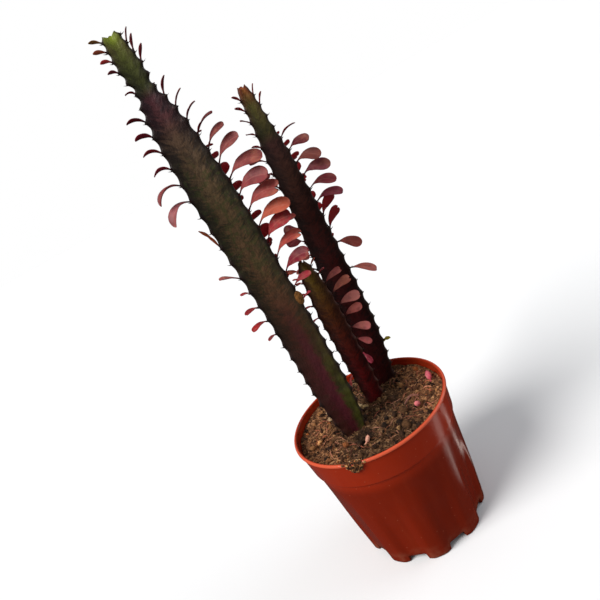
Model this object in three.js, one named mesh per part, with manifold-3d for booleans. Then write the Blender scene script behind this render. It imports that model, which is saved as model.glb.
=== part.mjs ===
// A potted African milk tree: three upright three-ribbed stems with spoon-shaped leaves
// along their ribs, standing in soil in a fluted nursery pot.
// Millimetres, +Z up. The origin is on the pot's axis, on the surface that the feet stand on.

import * as THREE from 'three';
import { mergeVertices } from 'three/addons/utils/BufferGeometryUtils.js';
import Module from 'manifold-3d';

const wasm = await Module();
wasm.setup();

// Pot
const potHeight = 133;
const rimRadius = 75;
const footRadius = 57.5;
const footWidth = 2.6;
const wall = 1.4;
const floorTop = 7.4;
const notchHeight = 5.8;
const bandHeight = 28.5;
const bandTopRadius = 73.6;
const bandLowRadius = 70.8;
const bodyTopRadius = 69.2;
const stepRise = 0.9;
const stepDrop = 0.6;
const lipHeight = 3.2;
// The lip's section: how far in from the rim, and how high above the lip's lower edge
const lipSection = [[0, 0.7], [0, 2.2], [1, 3.2], [2.3, 3.2], [3.1, 2.2]];
const footCount = 9;
const footPhase = degrees(24);
const notchHalfAngle = degrees(9.7);
const notchSlant = 1.6;
const notchCut = 16;
const fluteDepth = 1.7;
const fluteFullHeight = 28;
const fluteEndHeight = 96;
const fluteSharpness = 1.6;
const outerWallRows = [52, 76];
const innerWallRow = 64;
const potColumns = 54;
const drainRadius = 4;
const drainCircle = 47;
const drainCut = 6;

// Soil
const gap = 0.3;
const soilLevel = 124.5;
const soilRise = 1.6;
const soilSideRow = 52;
const soilRings = [61, 48, 35, 22, 10];
// Low waves on the soil: how fast each turns along x and y, its start and its height
const soilWaves = [[0.21, 0.17, 1.3, 0.8], [0.43, -0.37, 0, 0.5]];
const hollow = { aside: 2, before: 17, depth: 3.2, spread: 90 };

// Stems
const ribCount = 3;
const buriedDepth = 42;
const waistShare = 0.42;
const flankShare = 0.72;
const flankFlare = 1.1;
const toothHeight = 1.3;
const crestBase = 0.6;
const crestShare = 0.05;
const firstNode = 5;
const topClearance = 3;
const holeMouth = 12;
const tipDip = 3;
const tipBlunt = 0.82;
const spineLength = 3.4;
const spineRadius = 0.55;
const spineSplay = degrees(38);
const spineRise = degrees(8);
const spineAside = 0.5;
const spineDrop = 0.8;
const rootSink = 1.4;
const leafClearance = 2.5;
const shortestLeaf = 4;
// How much a leaf's length (a share), rise, heading and roll (degrees) vary by chance
const spread = { length: 0.16, rise: 12, heading: 26, roll: 40 };
const turnSteps = [0, 20, -20, 40, -40, 60, -60];
const bladeSamples = [0.35, 0.55, 0.75, 1];

// Leaves: half-width and thickness as shares along the blade, from the stalk to the tip
const bladeStations = [0, 0.24, 0.48, 0.72, 0.9];
const bladeWidths = [0.2, 0.36, 0.76, 1, 0.8];
const bladeKeel = 0.95;
const stalkHalfWidth = 0.75;
// A leaf has its whole roll from this share of its length on
const rollShare = 0.4;
const widthShare = 0.43;
const troughShare = 0.14;

// Each stem: where its axis starts, how it bows in x by its height over 300 mm, the turn of
// its first rib, the turn of each rib's leaves from their rib, its height above the soil, its
// rib radius and node pitch by height, and the leaves of each rib by height: blade length,
// rise of its chord, arch and roll, in degrees. A length of 0 leaves the rib bare there.
const stems = {
  stem_tall: {
    base: [-19, -8],
    bow: [0, -8],
    turn: -27,
    aside: [0, -62, 0],
    height: 372.5,
    ribs: [[-42, 10], [0, 11], [14, 14.5], [40, 17.5], [120, 18.2], [200, 19], [250, 19.2],
      [275, 17.5], [300, 15.2], [316, 12.2], [323, 9.4], [331, 7.4], [341, 9.6], [348, 10.2], [360, 9],
      [372.5, 7.4]],
    pitch: [[0, 12], [120, 13.5], [200, 14.5], [290, 12.5], [312, 10], [345, 8.2], [372.5, 6]],
    leaves: [
      [[130, 8, 20, 30, 20], [150, 22, 22, 60, 50], [166, 33, 20, 70, 45], [245, 35, 12, 80, 35],
        [262, 27, 22, 66, 20], [283, 21, 28, 60, 18], [310, 14, 42, 40, 15], [323, 12, 55, 40, -30],
        [324, 0, 0, 0, 0], [341, 0, 0, 0, 0], [342, 11, 58, 20, -24], [356, 11, 60, 20, -24],
        [363, 9, 62, 15, 10], [364, 0, 0, 0, 0]],
      [[120, 10, 5, 40, 0], [150, 27, 24, 50, -50], [225, 30, 24, 60, -50], [262, 26, 20, 70, -20],
        [300, 15, 35, 50, 0], [345, 9, 50, 30, 0], [372, 7, 60, 20, 0]],
      [[118, 9, -5, 40, 0], [133, 16, 0, 50, -20], [165, 8, 20, 40, 0], [176, 19, 32, 30, -30],
        [182, 0, 0, 0, 0], [193, 0, 0, 0, 0], [194, 21, 70, 20, 0], [207, 21, 70, 20, 0],
        [208, 0, 0, 0, 0], [240, 0, 0, 0, -30], [241, 27, -24, 125, -5],
        [260, 25, -12, 120, -5], [272, 17, 6, 85, 35], [290, 16, 16, 80, 40],
        [310, 14, 22, 70, 40], [313, 0, 0, 0, 0], [325, 0, 0, 0, 0], [326, 9, 20, 90, 20],
        [332, 9, 20, 90, 20], [334, 0, 0, 0, 0], [342, 0, 0, 0, 0], [343, 9, 20, 60, 45],
        [356, 9, 20, 60, 45], [362, 10, 14, 30, 40], [372, 8, 26, 20, 60]],
    ],
    buds: [{ rib: 0, height: 136, radius: 3.6, tall: 1.9 }],
    seed: 11,
  },
  stem_right: {
    base: [25, 43],
    bow: [27.5, -15],
    turn: -26,
    aside: [0, -55, 0],
    height: 301,
    ribs: [[-42, 12], [0, 14.5], [40, 17.5], [80, 17.5], [110, 16], [150, 14.5], [200, 13],
      [235, 12.2], [262, 9], [285, 7], [301, 5]],
    pitch: [[0, 12.5], [150, 13.5], [240, 12], [296, 8]],
    leaves: [
      [[112, 10, -20, 40, 30], [120, 24, -26, 40, 30], [125, 24, -26, 40, 30],
        [126, 0, 0, 0, 0], [140, 0, 0, 0, 0], [141, 23, -22, 50, 40], [154, 23, -22, 50, 40],
        [155, 19, 42, 35, -50], [176, 21, 38, 40, -50], [187, 28, -2, 80, 35],
        [202, 31, -6, 80, 35], [231, 25, -8, 80, 35], [244, 18, 8, 60, 30], [254, 16, 33, 50, 0],
        [262, 0, 0, 0, 0], [276, 0, 0, 0, 0], [280, 9, 60, 20, 0], [301, 6, 55, 20, 0]],
      [[110, 12, 0, 40, 0], [150, 24, 18, 50, -50], [190, 28, 18, 60, -50],
        [225, 27, 18, 60, -50], [246, 16, 25, 50, -30], [262, 9, 45, 30, 0], [301, 6, 60, 20, 0]],
      [[118, 12, 0, 40, -40], [150, 24, 15, 60, -45], [225, 27, 8, 80, -40],
        [250, 10, 28, 40, 0], [284, 10, 37, 30, 0], [301, 6, 60, 20, 0]],
    ],
    buds: [],
    seed: 23,
  },
  stem_short: {
    base: [11, 22],
    bow: [0, 0],
    turn: -22,
    aside: [0, 0, 0],
    height: 152,
    ribs: [[-42, 9], [0, 9.5], [25, 10.5], [60, 11.2], [100, 11.6], [115, 11], [130, 9.5],
      [142, 7], [152, 4.2]],
    pitch: [[0, 12], [110, 12], [152, 8]],
    leaves: [
      [[56, 9, -30, 30, 50], [71, 17, -24, 30, 50], [85, 19, 4, 40, 50], [97, 21, 8, 40, 50],
        [112, 21, 22, 40, 50], [124, 21, 13, 40, 45], [133, 8, 25, 30, 0], [152, 7, 50, 20, 0]],
      [[78, 9, 0, 40, 0], [120, 15, 20, 50, 0], [152, 8, 50, 20, 0]],
      [[96, 7, 0, 30, 0], [136, 9, 20, 40, -30], [144, 14, 22, 40, -40], [152, 9, 40, 30, 0]],
    ],
    buds: [],
    seed: 37,
  },
};

// Loose pieces on the soil: place, heading, length, and the rise and arch of a curled leaf
const fallenLeaves = {
  fallen_leaf_right: { at: [62, -4], heading: 80, length: 13, rise: 26, arch: -50, roll: 50 },
  fallen_leaf_middle: { at: [42, -22], heading: 250, length: 12, rise: 30, arch: -60, roll: -40 },
  fallen_leaf_front: { at: [-17, -37], heading: 20, length: 9, rise: 40, arch: -70, roll: 30 },
};
const fallenWidthShare = 0.3;
const pebble = { at: [-7, 17], radius: 4.6, flattened: 0.8, lumps: 0.12, lift: 1.4 };
const fallenLift = 1.2;

function degrees(angle) {
  return (angle * Math.PI) / 180;
}

// A repeatable random number from 0 to 1, from a seed
function seededRandom(seed) {
  let state = seed;
  return () => {
    state = (state + 0x6d2b79f5) | 0;
    let mixed = Math.imul(state ^ (state >>> 15), 1 | state);
    mixed = (mixed + Math.imul(mixed ^ (mixed >>> 7), 61 | mixed)) ^ mixed;
    return ((mixed ^ (mixed >>> 14)) >>> 0) / 4294967296;
  };
}

function clamp(value, low, high) {
  return Math.min(high, Math.max(low, value));
}

function smoothStep(low, high, value) {
  const share = clamp((value - low) / (high - low), 0, 1);
  return share * share * (3 - 2 * share);
}

// The value of a column in a table whose rows start with a height, linear between its rows
function tableValue(table, height, column = 1) {
  if (height <= table[0][0]) return table[0][column];
  for (let row = 1; row < table.length; row += 1) {
    const [low, high] = [table[row - 1], table[row]];
    if (height <= high[0]) {
      const share = (height - low[0]) / (high[0] - low[0]);
      return low[column] + share * (high[column] - low[column]);
    }
  }
  return table[table.length - 1][column];
}

// A closed solid of a geometry, with its shared vertices merged
function solidOf(geometry) {
  const bare = geometry.clone();
  bare.deleteAttribute('normal');
  bare.deleteAttribute('uv');
  const merged = mergeVertices(bare, 1e-4);
  const index = merged.index.array;
  const triangles = [];
  for (let corner = 0; corner < index.length; corner += 3) {
    const [a, b, c] = [index[corner], index[corner + 1], index[corner + 2]];
    if (a !== b && b !== c && c !== a) triangles.push(a, b, c);
  }
  const mesh = new wasm.Mesh({
    numProp: 3,
    vertProperties: new Float32Array(merged.attributes.position.array),
    triVerts: new Uint32Array(triangles),
  });
  return new wasm.Manifold(mesh);
}

function geometryOf(solid) {
  const mesh = solid.getMesh();
  const geometry = new THREE.BufferGeometry();
  geometry.setAttribute('position', new THREE.BufferAttribute(mesh.vertProperties, 3));
  geometry.setIndex(new THREE.BufferAttribute(mesh.triVerts, 1));
  geometry.computeVertexNormals();
  return geometry;
}

// A solid of turned rings: place(row, side) gives the point of each ring's side. The first
// and last rows are single points.
function ringedSolid(rowCount, sideCount, place) {
  const profile = [];
  for (let row = 0; row < rowCount; row += 1) {
    const radius = row === 0 || row === rowCount - 1 ? 0 : 1;
    profile.push(new THREE.Vector2(radius, row));
  }
  const geometry = new THREE.LatheGeometry(profile, sideCount);
  const position = geometry.attributes.position;
  for (let vertex = 0; vertex < position.count; vertex += 1) {
    const side = Math.floor(vertex / rowCount) % sideCount;
    const point = place(vertex % rowCount, side);
    position.setXYZ(vertex, point.x, point.y, point.z);
  }
  return solidOf(geometry);
}

// How far the pot's wall stands out or in at an angle: out over each foot, in over each notch
function flute(angle, height) {
  const wave = clamp(fluteSharpness * Math.cos(footCount * (angle - footPhase)), -1, 1);
  return fluteDepth * wave * (1 - smoothStep(fluteFullHeight, fluteEndHeight, height));
}

function bodyRadius(height) {
  const bodyTop = potHeight - bandHeight;
  return footRadius + (bodyTopRadius - footRadius) * (height / bodyTop);
}

function bandRadius(height) {
  const share = (height - (potHeight - bandHeight)) / (bandHeight - lipHeight);
  return bandLowRadius + (bandTopRadius - bandLowRadius) * share;
}

// The pot's profile from under its floor, round its foot, wall and lip, to its inner floor
function potProfile() {
  const bodyTop = potHeight - bandHeight;
  const lipBottom = potHeight - lipHeight;
  const footInner = footRadius - footWidth;
  const outerHeights = [floorTop, fluteFullHeight, ...outerWallRows, bodyTop];
  const innerHeights = [bodyTop, innerWallRow, fluteFullHeight, floorTop];
  const underside = [[0, floorTop - wall], [footInner, floorTop - wall], [footInner, 0], [footRadius, 0]];
  const outside = outerHeights.map((height) => [bodyRadius(height), height]);
  const band = [[bandLowRadius, bodyTop + stepRise], [bandTopRadius, lipBottom]];
  const lip = lipSection.map(([inset, rise]) => [rimRadius - inset, lipBottom + rise]);
  const innerBand = [[bandTopRadius - wall, lipBottom], [bandLowRadius - wall, bodyTop + stepRise]];
  const inside = innerHeights.map((height) => [bodyRadius(height) - wall, height]);
  inside[0][1] -= stepDrop;
  return [...underside, ...outside, ...band, ...lip, ...innerBand, ...inside, [0, floorTop]];
}

function makePot() {
  const profile = potProfile();
  const shell = ringedSolid(profile.length, potColumns, (row, side) => {
    const [radius, height] = profile[row];
    const angle = footPhase + (2 * Math.PI * side) / potColumns;
    const reach = radius === 0 ? 0 : radius + flute(angle, height);
    return new THREE.Vector3(reach * Math.cos(angle), reach * Math.sin(angle), height);
  });
  const cuts = [];
  for (let notch = 0; notch < footCount; notch += 1) {
    const angle = footPhase + ((notch + 0.5) * 2 * Math.PI) / footCount;
    cuts.push(notchCutter(angle));
    cuts.push(drainCutter(angle));
  }
  return shell.subtract(wasm.Manifold.union(cuts));
}

// A block with slanted sides that opens one notch in the foot ring
function notchCutter(angle) {
  const half = footRadius * Math.sin(notchHalfAngle);
  const outline = new THREE.Shape();
  outline.moveTo(-half, -1);
  outline.lineTo(half, -1);
  outline.lineTo(half - notchSlant, notchHeight);
  outline.lineTo(notchSlant - half, notchHeight);
  const geometry = new THREE.ExtrudeGeometry(outline, { depth: notchCut, bevelEnabled: false });
  geometry.rotateX(Math.PI / 2);
  geometry.translate(0, footRadius + notchCut / 2, 0);
  geometry.rotateZ(angle - Math.PI / 2);
  return solidOf(geometry);
}

function drainCutter(angle) {
  const geometry = new THREE.CylinderGeometry(drainRadius, drainRadius, drainCut, 10);
  geometry.rotateX(Math.PI / 2);
  geometry.translate(drainCircle * Math.cos(angle), drainCircle * Math.sin(angle), floorTop - wall / 2);
  return solidOf(geometry);
}

// The height of the soil's top: low waves, a rise to the back and a hollow by the tall stem
function soilHeight(x, y) {
  let height = soilLevel + (soilRise * y) / rimRadius;
  for (const [alongX, alongY, start, size] of soilWaves) {
    height += size * Math.sin(x * alongX + start) * Math.cos(y * alongY);
  }
  const [stemX, stemY] = stems.stem_tall.base;
  const away = (x - stemX - hollow.aside) ** 2 + (y - stemY + hollow.before) ** 2;
  return height - hollow.depth * Math.exp(-away / hollow.spread);
}

function makeSoil(holes) {
  const bodyTop = potHeight - bandHeight;
  const bottom = floorTop + gap;
  const slack = wall + gap;
  const side = [
    [footRadius - slack - fluteDepth, bottom],
    [bodyRadius(soilSideRow) - slack - fluteDepth, soilSideRow],
    [bodyTopRadius - slack, bodyTop - stepDrop],
    [bandLowRadius - slack, bodyTop + stepRise + gap],
  ];
  const rows = [[0, bottom], ...side, [bandRadius(soilLevel) - slack, null],
    ...soilRings.map((radius) => [radius, null]), [0, null]];
  const body = ringedSolid(rows.length, potColumns, (row, column) => {
    const angle = footPhase + (2 * Math.PI * column) / potColumns;
    const [radius, height] = rows[row];
    const [x, y] = [radius * Math.cos(angle), radius * Math.sin(angle)];
    return new THREE.Vector3(x, y, height ?? soilHeight(x, y));
  });
  return body.subtract(wasm.Manifold.union(holes));
}

function stemAxis(stem, height) {
  const share = Math.max(0, height) / 300;
  const x = stem.base[0] + stem.bow[0] * share + stem.bow[1] * share * share;
  return new THREE.Vector3(x, stem.base[1], soilLevel + height);
}

function ribAngle(stem, rib) {
  return degrees(stem.turn + (360 / ribCount) * rib);
}

function outward(angle) {
  return new THREE.Vector3(Math.cos(angle), Math.sin(angle), 0);
}

// One of the five points of a rib in the stem's section: two flanks, two crest corners and
// the middle of the hollow face beside it
function sectionPoint(stem, side, radius, tooth, spare) {
  const corner = side % 5;
  const angle = ribAngle(stem, Math.floor(side / 5));
  if (corner === 4) {
    return outward(angle + Math.PI / ribCount).multiplyScalar(waistShare * radius + spare);
  }
  const crestHalf = crestBase + crestShare * radius + spare;
  const isCrest = corner === 1 || corner === 2;
  const along = isCrest ? radius + tooth + spare : flankShare * radius;
  const across = (isCrest ? crestHalf : crestHalf + flankFlare) * (corner < 2 ? -1 : 1);
  const aside = outward(angle + Math.PI / 2).multiplyScalar(across);
  return outward(angle).multiplyScalar(along).add(aside);
}

// The heights of a stem's nodes, from the soil to its tip
function nodeHeights(stem) {
  const heights = [];
  const last = stem.height - topClearance;
  for (let height = firstNode; height < last; height += tableValue(stem.pitch, height)) {
    heights.push(height);
  }
  return heights;
}

// The ribs take turns: the middle rib's nodes lie halfway between those of the other two
function ribNodes(stem, rib) {
  const nodes = nodeHeights(stem);
  if (rib !== 1) return nodes;
  return nodes.slice(0, -1).map((height, place) => (height + nodes[place + 1]) / 2);
}

// The rows of a stem: a plain buried foot, then a tooth row and a row between at each node
function stemRows(stem) {
  const nodes = nodeHeights(stem);
  const rows = [{ height: -buriedDepth, teeth: 0 }, { height: 0, teeth: 0 }];
  nodes.forEach((height, place) => {
    rows.push({ height, teeth: 1 });
    const next = nodes[place + 1];
    if (next) rows.push({ height: (height + next) / 2, teeth: -1 });
  });
  rows.push({ height: stem.height, teeth: 0 });
  return rows;
}

function toothAt(row, side) {
  if (row.teeth === 0) return 0;
  const isMiddleRib = Math.floor(side / 5) === 1;
  const isTooth = (row.teeth === 1) !== isMiddleRib;
  return isTooth ? toothHeight : -toothHeight / 3;
}

function stemBody(stem) {
  const rows = stemRows(stem);
  return ringedSolid(rows.length + 2, 5 * ribCount, (place, side) => {
    const row = rows[clamp(place - 1, 0, rows.length - 1)];
    const centre = stemAxis(stem, row.height);
    if (place === 0) return centre;
    if (place === rows.length + 1) return centre.add(new THREE.Vector3(0, 0, -tipDip));
    const isTip = place === rows.length;
    const radius = tableValue(stem.ribs, row.height) * (isTip ? tipBlunt : 1);
    return centre.add(sectionPoint(stem, side, radius, toothAt(row, side), 0));
  });
}

// The hole that a stem stands in: its buried foot, wider by the gap all round
function stemHole(stem) {
  const heights = [-buriedDepth - gap, 0, holeMouth];
  return ringedSolid(heights.length + 2, 5 * ribCount, (place, side) => {
    const row = clamp(place - 1, 0, heights.length - 1);
    const centre = stemAxis(stem, Math.min(heights[row], 0));
    centre.z = soilLevel + heights[row];
    if (place === 0 || place === heights.length + 1) return centre;
    const radius = tableValue(stem.ribs, Math.max(heights[row], -buriedDepth));
    const spare = heights[row] > 0 ? 2 * gap : gap + 0.1;
    return centre.add(sectionPoint(stem, side, radius, 0, spare));
  });
}

// A point along the middle of a leaf, whose slope falls evenly by its arch
function bladePoint({ root, heading, rise, arch, length }, share) {
  const point = root.clone();
  const steps = 12;
  const stride = (length * share) / steps;
  for (let step = 0; step < steps; step += 1) {
    const angle = rise - arch * share * ((step + 0.5) / steps);
    point.addScaledVector(outward(heading), stride * Math.cos(angle));
    point.z += stride * Math.sin(angle);
  }
  return point;
}

// A spoon-shaped leaf: a thin keeled blade that leaves its root at one angle and arches over
function leafSolid(leaf) {
  const { root, heading, rise, arch, length, width, roll, spare } = leaf;
  const forward = outward(heading);
  const up = new THREE.Vector3(0, 0, 1);
  const rings = bladeStations.length;
  return ringedSolid(rings + 2, 3, (row, side) => {
    if (row === 0) return root.clone().addScaledVector(forward, -spare);
    if (row === rings + 1) return bladePoint(leaf, 1 + spare / length);
    const share = bladeStations[row - 1];
    const angle = rise - arch * share;
    const normal = forward.clone().multiplyScalar(-Math.sin(angle)).addScaledVector(up, Math.cos(angle));
    const tangent = forward.clone().multiplyScalar(Math.cos(angle)).addScaledVector(up, Math.sin(angle));
    normal.applyAxisAngle(tangent, roll * Math.min(1, share / rollShare));
    const across = normal.clone().cross(tangent);
    const half = Math.max(stalkHalfWidth, width * bladeWidths[row - 1]) + spare;
    const centre = bladePoint(leaf, share);
    if (side === 0) return centre.addScaledVector(normal, -bladeKeel - spare);
    const edge = side === 1 ? half : -half;
    return centre.addScaledVector(across, edge).addScaledVector(normal, troughShare * half + spare);
  });
}

// A short thorn that leans to one side of a rib's tooth
function spineSolid(root, heading) {
  const geometry = new THREE.ConeGeometry(spineRadius, spineLength, 3);
  geometry.translate(0, spineLength / 2, 0);
  geometry.rotateZ(spineRise - Math.PI / 2);
  geometry.rotateX(Math.PI / 2);
  geometry.rotateZ(heading);
  geometry.translate(root.x, root.y, root.z);
  return solidOf(geometry);
}

// A root point on a rib's crest, sunk into it
function crestPoint(stem, rib, height, sink) {
  const reach = tableValue(stem.ribs, height) + toothHeight - sink;
  return stemAxis(stem, height).addScaledVector(outward(ribAngle(stem, rib)), reach);
}

// How far a stem reaches from its axis at a height, in a direction
function stemReach(stem, height, angle) {
  const span = (2 * Math.PI) / ribCount;
  const turns = (angle - ribAngle(stem, 0)) / span;
  const offRib = 2 * Math.abs(turns - Math.round(turns));
  const share = waistShare + (1 - waistShare) * (1 - offRib) ** 2;
  return share * (tableValue(stem.ribs, height) + toothHeight);
}

function clearsStem(leaf, stem) {
  return bladeSamples.every((share) => {
    const point = bladePoint(leaf, share);
    const height = point.z - soilLevel;
    if (height > stem.height + leafClearance) return true;
    const axis = stemAxis(stem, height);
    const [x, y] = [point.x - axis.x, point.y - axis.y];
    return Math.hypot(x, y) > stemReach(stem, height, Math.atan2(y, x)) + leaf.width + leafClearance;
  });
}

function clearsLeaf(leaf, other) {
  const points = bladeSamples.map((share) => bladePoint(leaf, share));
  const room = leaf.width + other.width;
  return other.points.every((theirs) => points.every((ours) => ours.distanceTo(theirs) > room));
}

// The leaf turned aside as little as it takes to clear the other stems and their leaves, or none
function bentClear(leaf, stem) {
  const others = Object.values(stems).filter((other) => other !== stem);
  const theirLeaves = grownLeaves.filter((other) => other.stem !== stem);
  for (const turn of turnSteps) {
    const turned = { ...leaf, heading: leaf.heading + degrees(turn) };
    const isClear = others.every((other) => clearsStem(turned, other))
      && theirLeaves.every((other) => clearsLeaf(turned, other));
    if (isClear) return turned;
  }
  return null;
}

function ribLeaves(stem, rib, random) {
  const plan = stem.leaves[rib];
  const solids = [];
  for (const height of ribNodes(stem, rib)) {
    const [turnDraw, rollDraw, riseDraw, sizeDraw] = [random(), random(), random(), random()];
    if (height < plan[0][0]) continue;
    const length = tableValue(plan, height, 1) * (1 + spread.length * (sizeDraw - 0.5));
    if (length < shortestLeaf) continue;
    const arch = degrees(tableValue(plan, height, 3));
    const chord = degrees(tableValue(plan, height, 2) + spread.rise * (riseDraw - 0.5));
    const leaf = bentClear({
      root: crestPoint(stem, rib, height, rootSink),
      heading: ribAngle(stem, rib) + degrees(stem.aside[rib] + spread.heading * (turnDraw - 0.5)),
      rise: chord + arch / 2,
      arch,
      length: length + rootSink,
      width: (widthShare * length) / 2,
      roll: degrees(tableValue(plan, height, 4) + spread.roll * (rollDraw - 0.5)),
      spare: 0,
    }, stem);
    if (!leaf) continue;
    solids.push(leafSolid(leaf));
    const points = bladeSamples.map((share) => bladePoint(leaf, share));
    grownLeaves.push({ stem, points, width: leaf.width });
  }
  return solids;
}

// A pair of thorns at every third node of a rib
function ribSpines(stem, rib) {
  const solids = [];
  ribNodes(stem, rib).forEach((height, place) => {
    if (place % ribCount !== rib) return;
    const angle = ribAngle(stem, rib);
    for (const hand of [-1, 1]) {
      const root = crestPoint(stem, rib, height, toothHeight / 2);
      root.addScaledVector(outward(angle + Math.PI / 2), hand * spineAside);
      root.z -= spineDrop;
      solids.push(spineSolid(root, angle + hand * spineSplay));
    }
  });
  return solids;
}

// A small dried side bud, sunk into a rib
function budSolid(stem, bud) {
  const geometry = new THREE.IcosahedronGeometry(bud.radius, 1);
  geometry.scale(1, 1, bud.tall);
  const root = crestPoint(stem, bud.rib, bud.height, bud.radius / 2);
  geometry.translate(root.x, root.y, root.z);
  return solidOf(geometry);
}

function makeStem(stem) {
  const random = seededRandom(stem.seed);
  const solids = [stemBody(stem), ...stem.buds.map((bud) => budSolid(stem, bud))];
  for (let rib = 0; rib < ribCount; rib += 1) {
    solids.push(...ribLeaves(stem, rib, random));
    solids.push(...ribSpines(stem, rib));
  }
  return wasm.Manifold.union(solids);
}

// A shrivelled leaf that lies on the soil, or with spare the seat that it presses there
function fallenLeaf(leaf, spare) {
  const [x, y] = leaf.at;
  return leafSolid({
    root: new THREE.Vector3(x, y, soilHeight(x, y) + fallenLift),
    heading: degrees(leaf.heading),
    rise: degrees(leaf.rise + leaf.arch / 2),
    arch: degrees(leaf.arch),
    length: leaf.length,
    width: (fallenWidthShare * leaf.length) / 2,
    roll: degrees(leaf.roll),
    spare,
  });
}

// A rounded lump on the soil, or with spare its seat
function pebbleSolid(spare) {
  const geometry = new THREE.IcosahedronGeometry(1, 1);
  const position = geometry.attributes.position;
  const [x, y] = pebble.at;
  for (let vertex = 0; vertex < position.count; vertex += 1) {
    const way = new THREE.Vector3().fromBufferAttribute(position, vertex);
    const bump = 1 + pebble.lumps * Math.sin(3 * way.x + 5) * Math.cos(4 * way.y + 2 * way.z);
    const reach = pebble.radius * bump + spare;
    position.setXYZ(vertex, way.x * reach, way.y * reach, way.z * reach * pebble.flattened);
  }
  geometry.translate(x, y, soilHeight(x, y) + pebble.lift);
  return solidOf(geometry);
}

function material(color, roughness) {
  return new THREE.MeshStandardMaterial({ color, roughness, metalness: 0 });
}

const plant = new THREE.Group();
const grownLeaves = [];

function addPiece(name, solid, look) {
  const mesh = new THREE.Mesh(geometryOf(solid), look);
  mesh.name = name;
  plant.add(mesh);
}

const seats = [
  ...Object.values(stems).map((stem) => stemHole(stem)),
  ...Object.values(fallenLeaves).map((leaf) => fallenLeaf(leaf, gap)),
  pebbleSolid(gap),
];

addPiece('pot', makePot(), material(0xb8391a, 0.35));
addPiece('soil', makeSoil(seats), material(0x5a4632, 0.95));
for (const [name, stem] of Object.entries(stems)) {
  addPiece(name, makeStem(stem), material(0x4a3a2e, 0.5));
}
for (const [name, leaf] of Object.entries(fallenLeaves)) {
  addPiece(name, fallenLeaf(leaf, 0), material(0xd07c86, 0.6));
}
addPiece('pebble', pebbleSolid(0), material(0xb39a74, 0.9));

export default plant;
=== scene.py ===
import functools
import math

import bmesh
import bpy
import numpy as np
from mathutils import Matrix, Vector, geometry, noise


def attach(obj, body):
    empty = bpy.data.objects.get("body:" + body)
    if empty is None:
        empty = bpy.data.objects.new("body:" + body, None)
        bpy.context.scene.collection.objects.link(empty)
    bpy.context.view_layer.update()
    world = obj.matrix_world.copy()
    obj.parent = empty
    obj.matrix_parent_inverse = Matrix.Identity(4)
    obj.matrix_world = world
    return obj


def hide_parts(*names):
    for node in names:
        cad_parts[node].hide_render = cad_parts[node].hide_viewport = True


# A potted African milk tree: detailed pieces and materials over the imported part.
# The tables and functions below repeat the part's, in millimetres, so each piece lies where its solid does.
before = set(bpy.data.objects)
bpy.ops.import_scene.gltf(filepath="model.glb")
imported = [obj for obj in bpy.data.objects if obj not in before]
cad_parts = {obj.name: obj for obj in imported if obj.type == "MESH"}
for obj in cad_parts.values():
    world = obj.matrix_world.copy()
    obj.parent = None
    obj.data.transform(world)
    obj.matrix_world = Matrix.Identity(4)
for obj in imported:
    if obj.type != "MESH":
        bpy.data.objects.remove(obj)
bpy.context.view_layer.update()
MM = 0.001

# Camera, fitted to the photograph's rim, band and feet
CAMERA_PLACE = (0.0, -481.0, 412.3)
CAMERA_RIGHT = (0.87361, -0.14422, -0.46477)
CAMERA_UP = (0.48652, 0.27934, 0.82781)
CAMERA_FORWARD = (-0.01044, 0.94930, -0.31420)

# Pot
POT_HEIGHT = 133
RIM_RADIUS = 75
FOOT_RADIUS = 57.5
FOOT_WIDTH = 2.6
FOOT_ROUNDING = 0.35
WALL = 1.4
FLOOR_TOP = 7.4
NOTCH_HEIGHT = 5.8
NOTCH_SIDE = (8.0, 9.4)
BAND_HEIGHT = 28.5
BAND_TOP_RADIUS = 73.6
BAND_LOW_RADIUS = 70.8
BODY_TOP_RADIUS = 69.2
STEP_RISE = 0.9
STEP_DROP = 0.6
LIP_HEIGHT = 3.2
FOOT_COUNT = 9
FOOT_PHASE = math.radians(24)
FLUTE_DEPTH = 1.7
FLUTE_FADE = (28, 96)
DRAIN_RADIUS = 4
DRAIN_CIRCLE = 47
DRAIN_SIDES = 24
BODY_TOP = POT_HEIGHT - BAND_HEIGHT
LIP_BOTTOM = POT_HEIGHT - LIP_HEIGHT

# Soil
GAP = 0.3
SOIL_LEVEL = 124.5
SOIL_RISE = 1.6
SOIL_WAVES = [[0.21, 0.17, 1.3, 0.8], [0.43, -0.37, 0, 0.5]]
SOIL_COLUMNS = 300
SOIL_RINGS = 82
HOLLOW = {"aside": 2, "before": 17, "depth": 3.2, "spread": 90}
# Share of the soil's grains and their colour on a screen
SOIL_TINTS = [
    (0.36, (76, 53, 38)), (0.26, (108, 76, 51)), (0.16, (44, 31, 24)), (0.11, (146, 108, 72)),
    (0.05, (172, 134, 94)), (0.04, (168, 104, 62)), (0.02, (196, 170, 138)),
]
# How many grains, how fine their shape is, and their smallest and largest size
GRAINS = [(1300, 1, 0.35, 0.9), (300, 2, 0.8, 1.8), (90, 2, 1.8, 3.6)]
# Crumbs on the lip and on its outside: how many, their least and most radius, and their heights
SPILLS = [(90, 70.8, 74.6, POT_HEIGHT - 0.6, POT_HEIGHT + 0.7), (110, 74.6, 75.6, POT_HEIGHT - 9, POT_HEIGHT)]
SPILL_ANGLE = 244.5
FIBRE_COUNT = 340
FIBRE_TINTS = [(160, 118, 84), (138, 88, 62), (186, 140, 108), (104, 62, 48), (196, 138, 116), (176, 104, 84)]
TWIG = {"from": [31, -15], "length": 14, "bend": 4.5, "lift": 1.7, "hump": 0.9, "radius": 1.3,
        "tint": (140, 98, 88)}
TAN_CLOD = {"at": [-1, 12], "size": 3.4, "lift": 1.8, "tint": (206, 174, 128)}

# Stems
RIBS = 3
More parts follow.
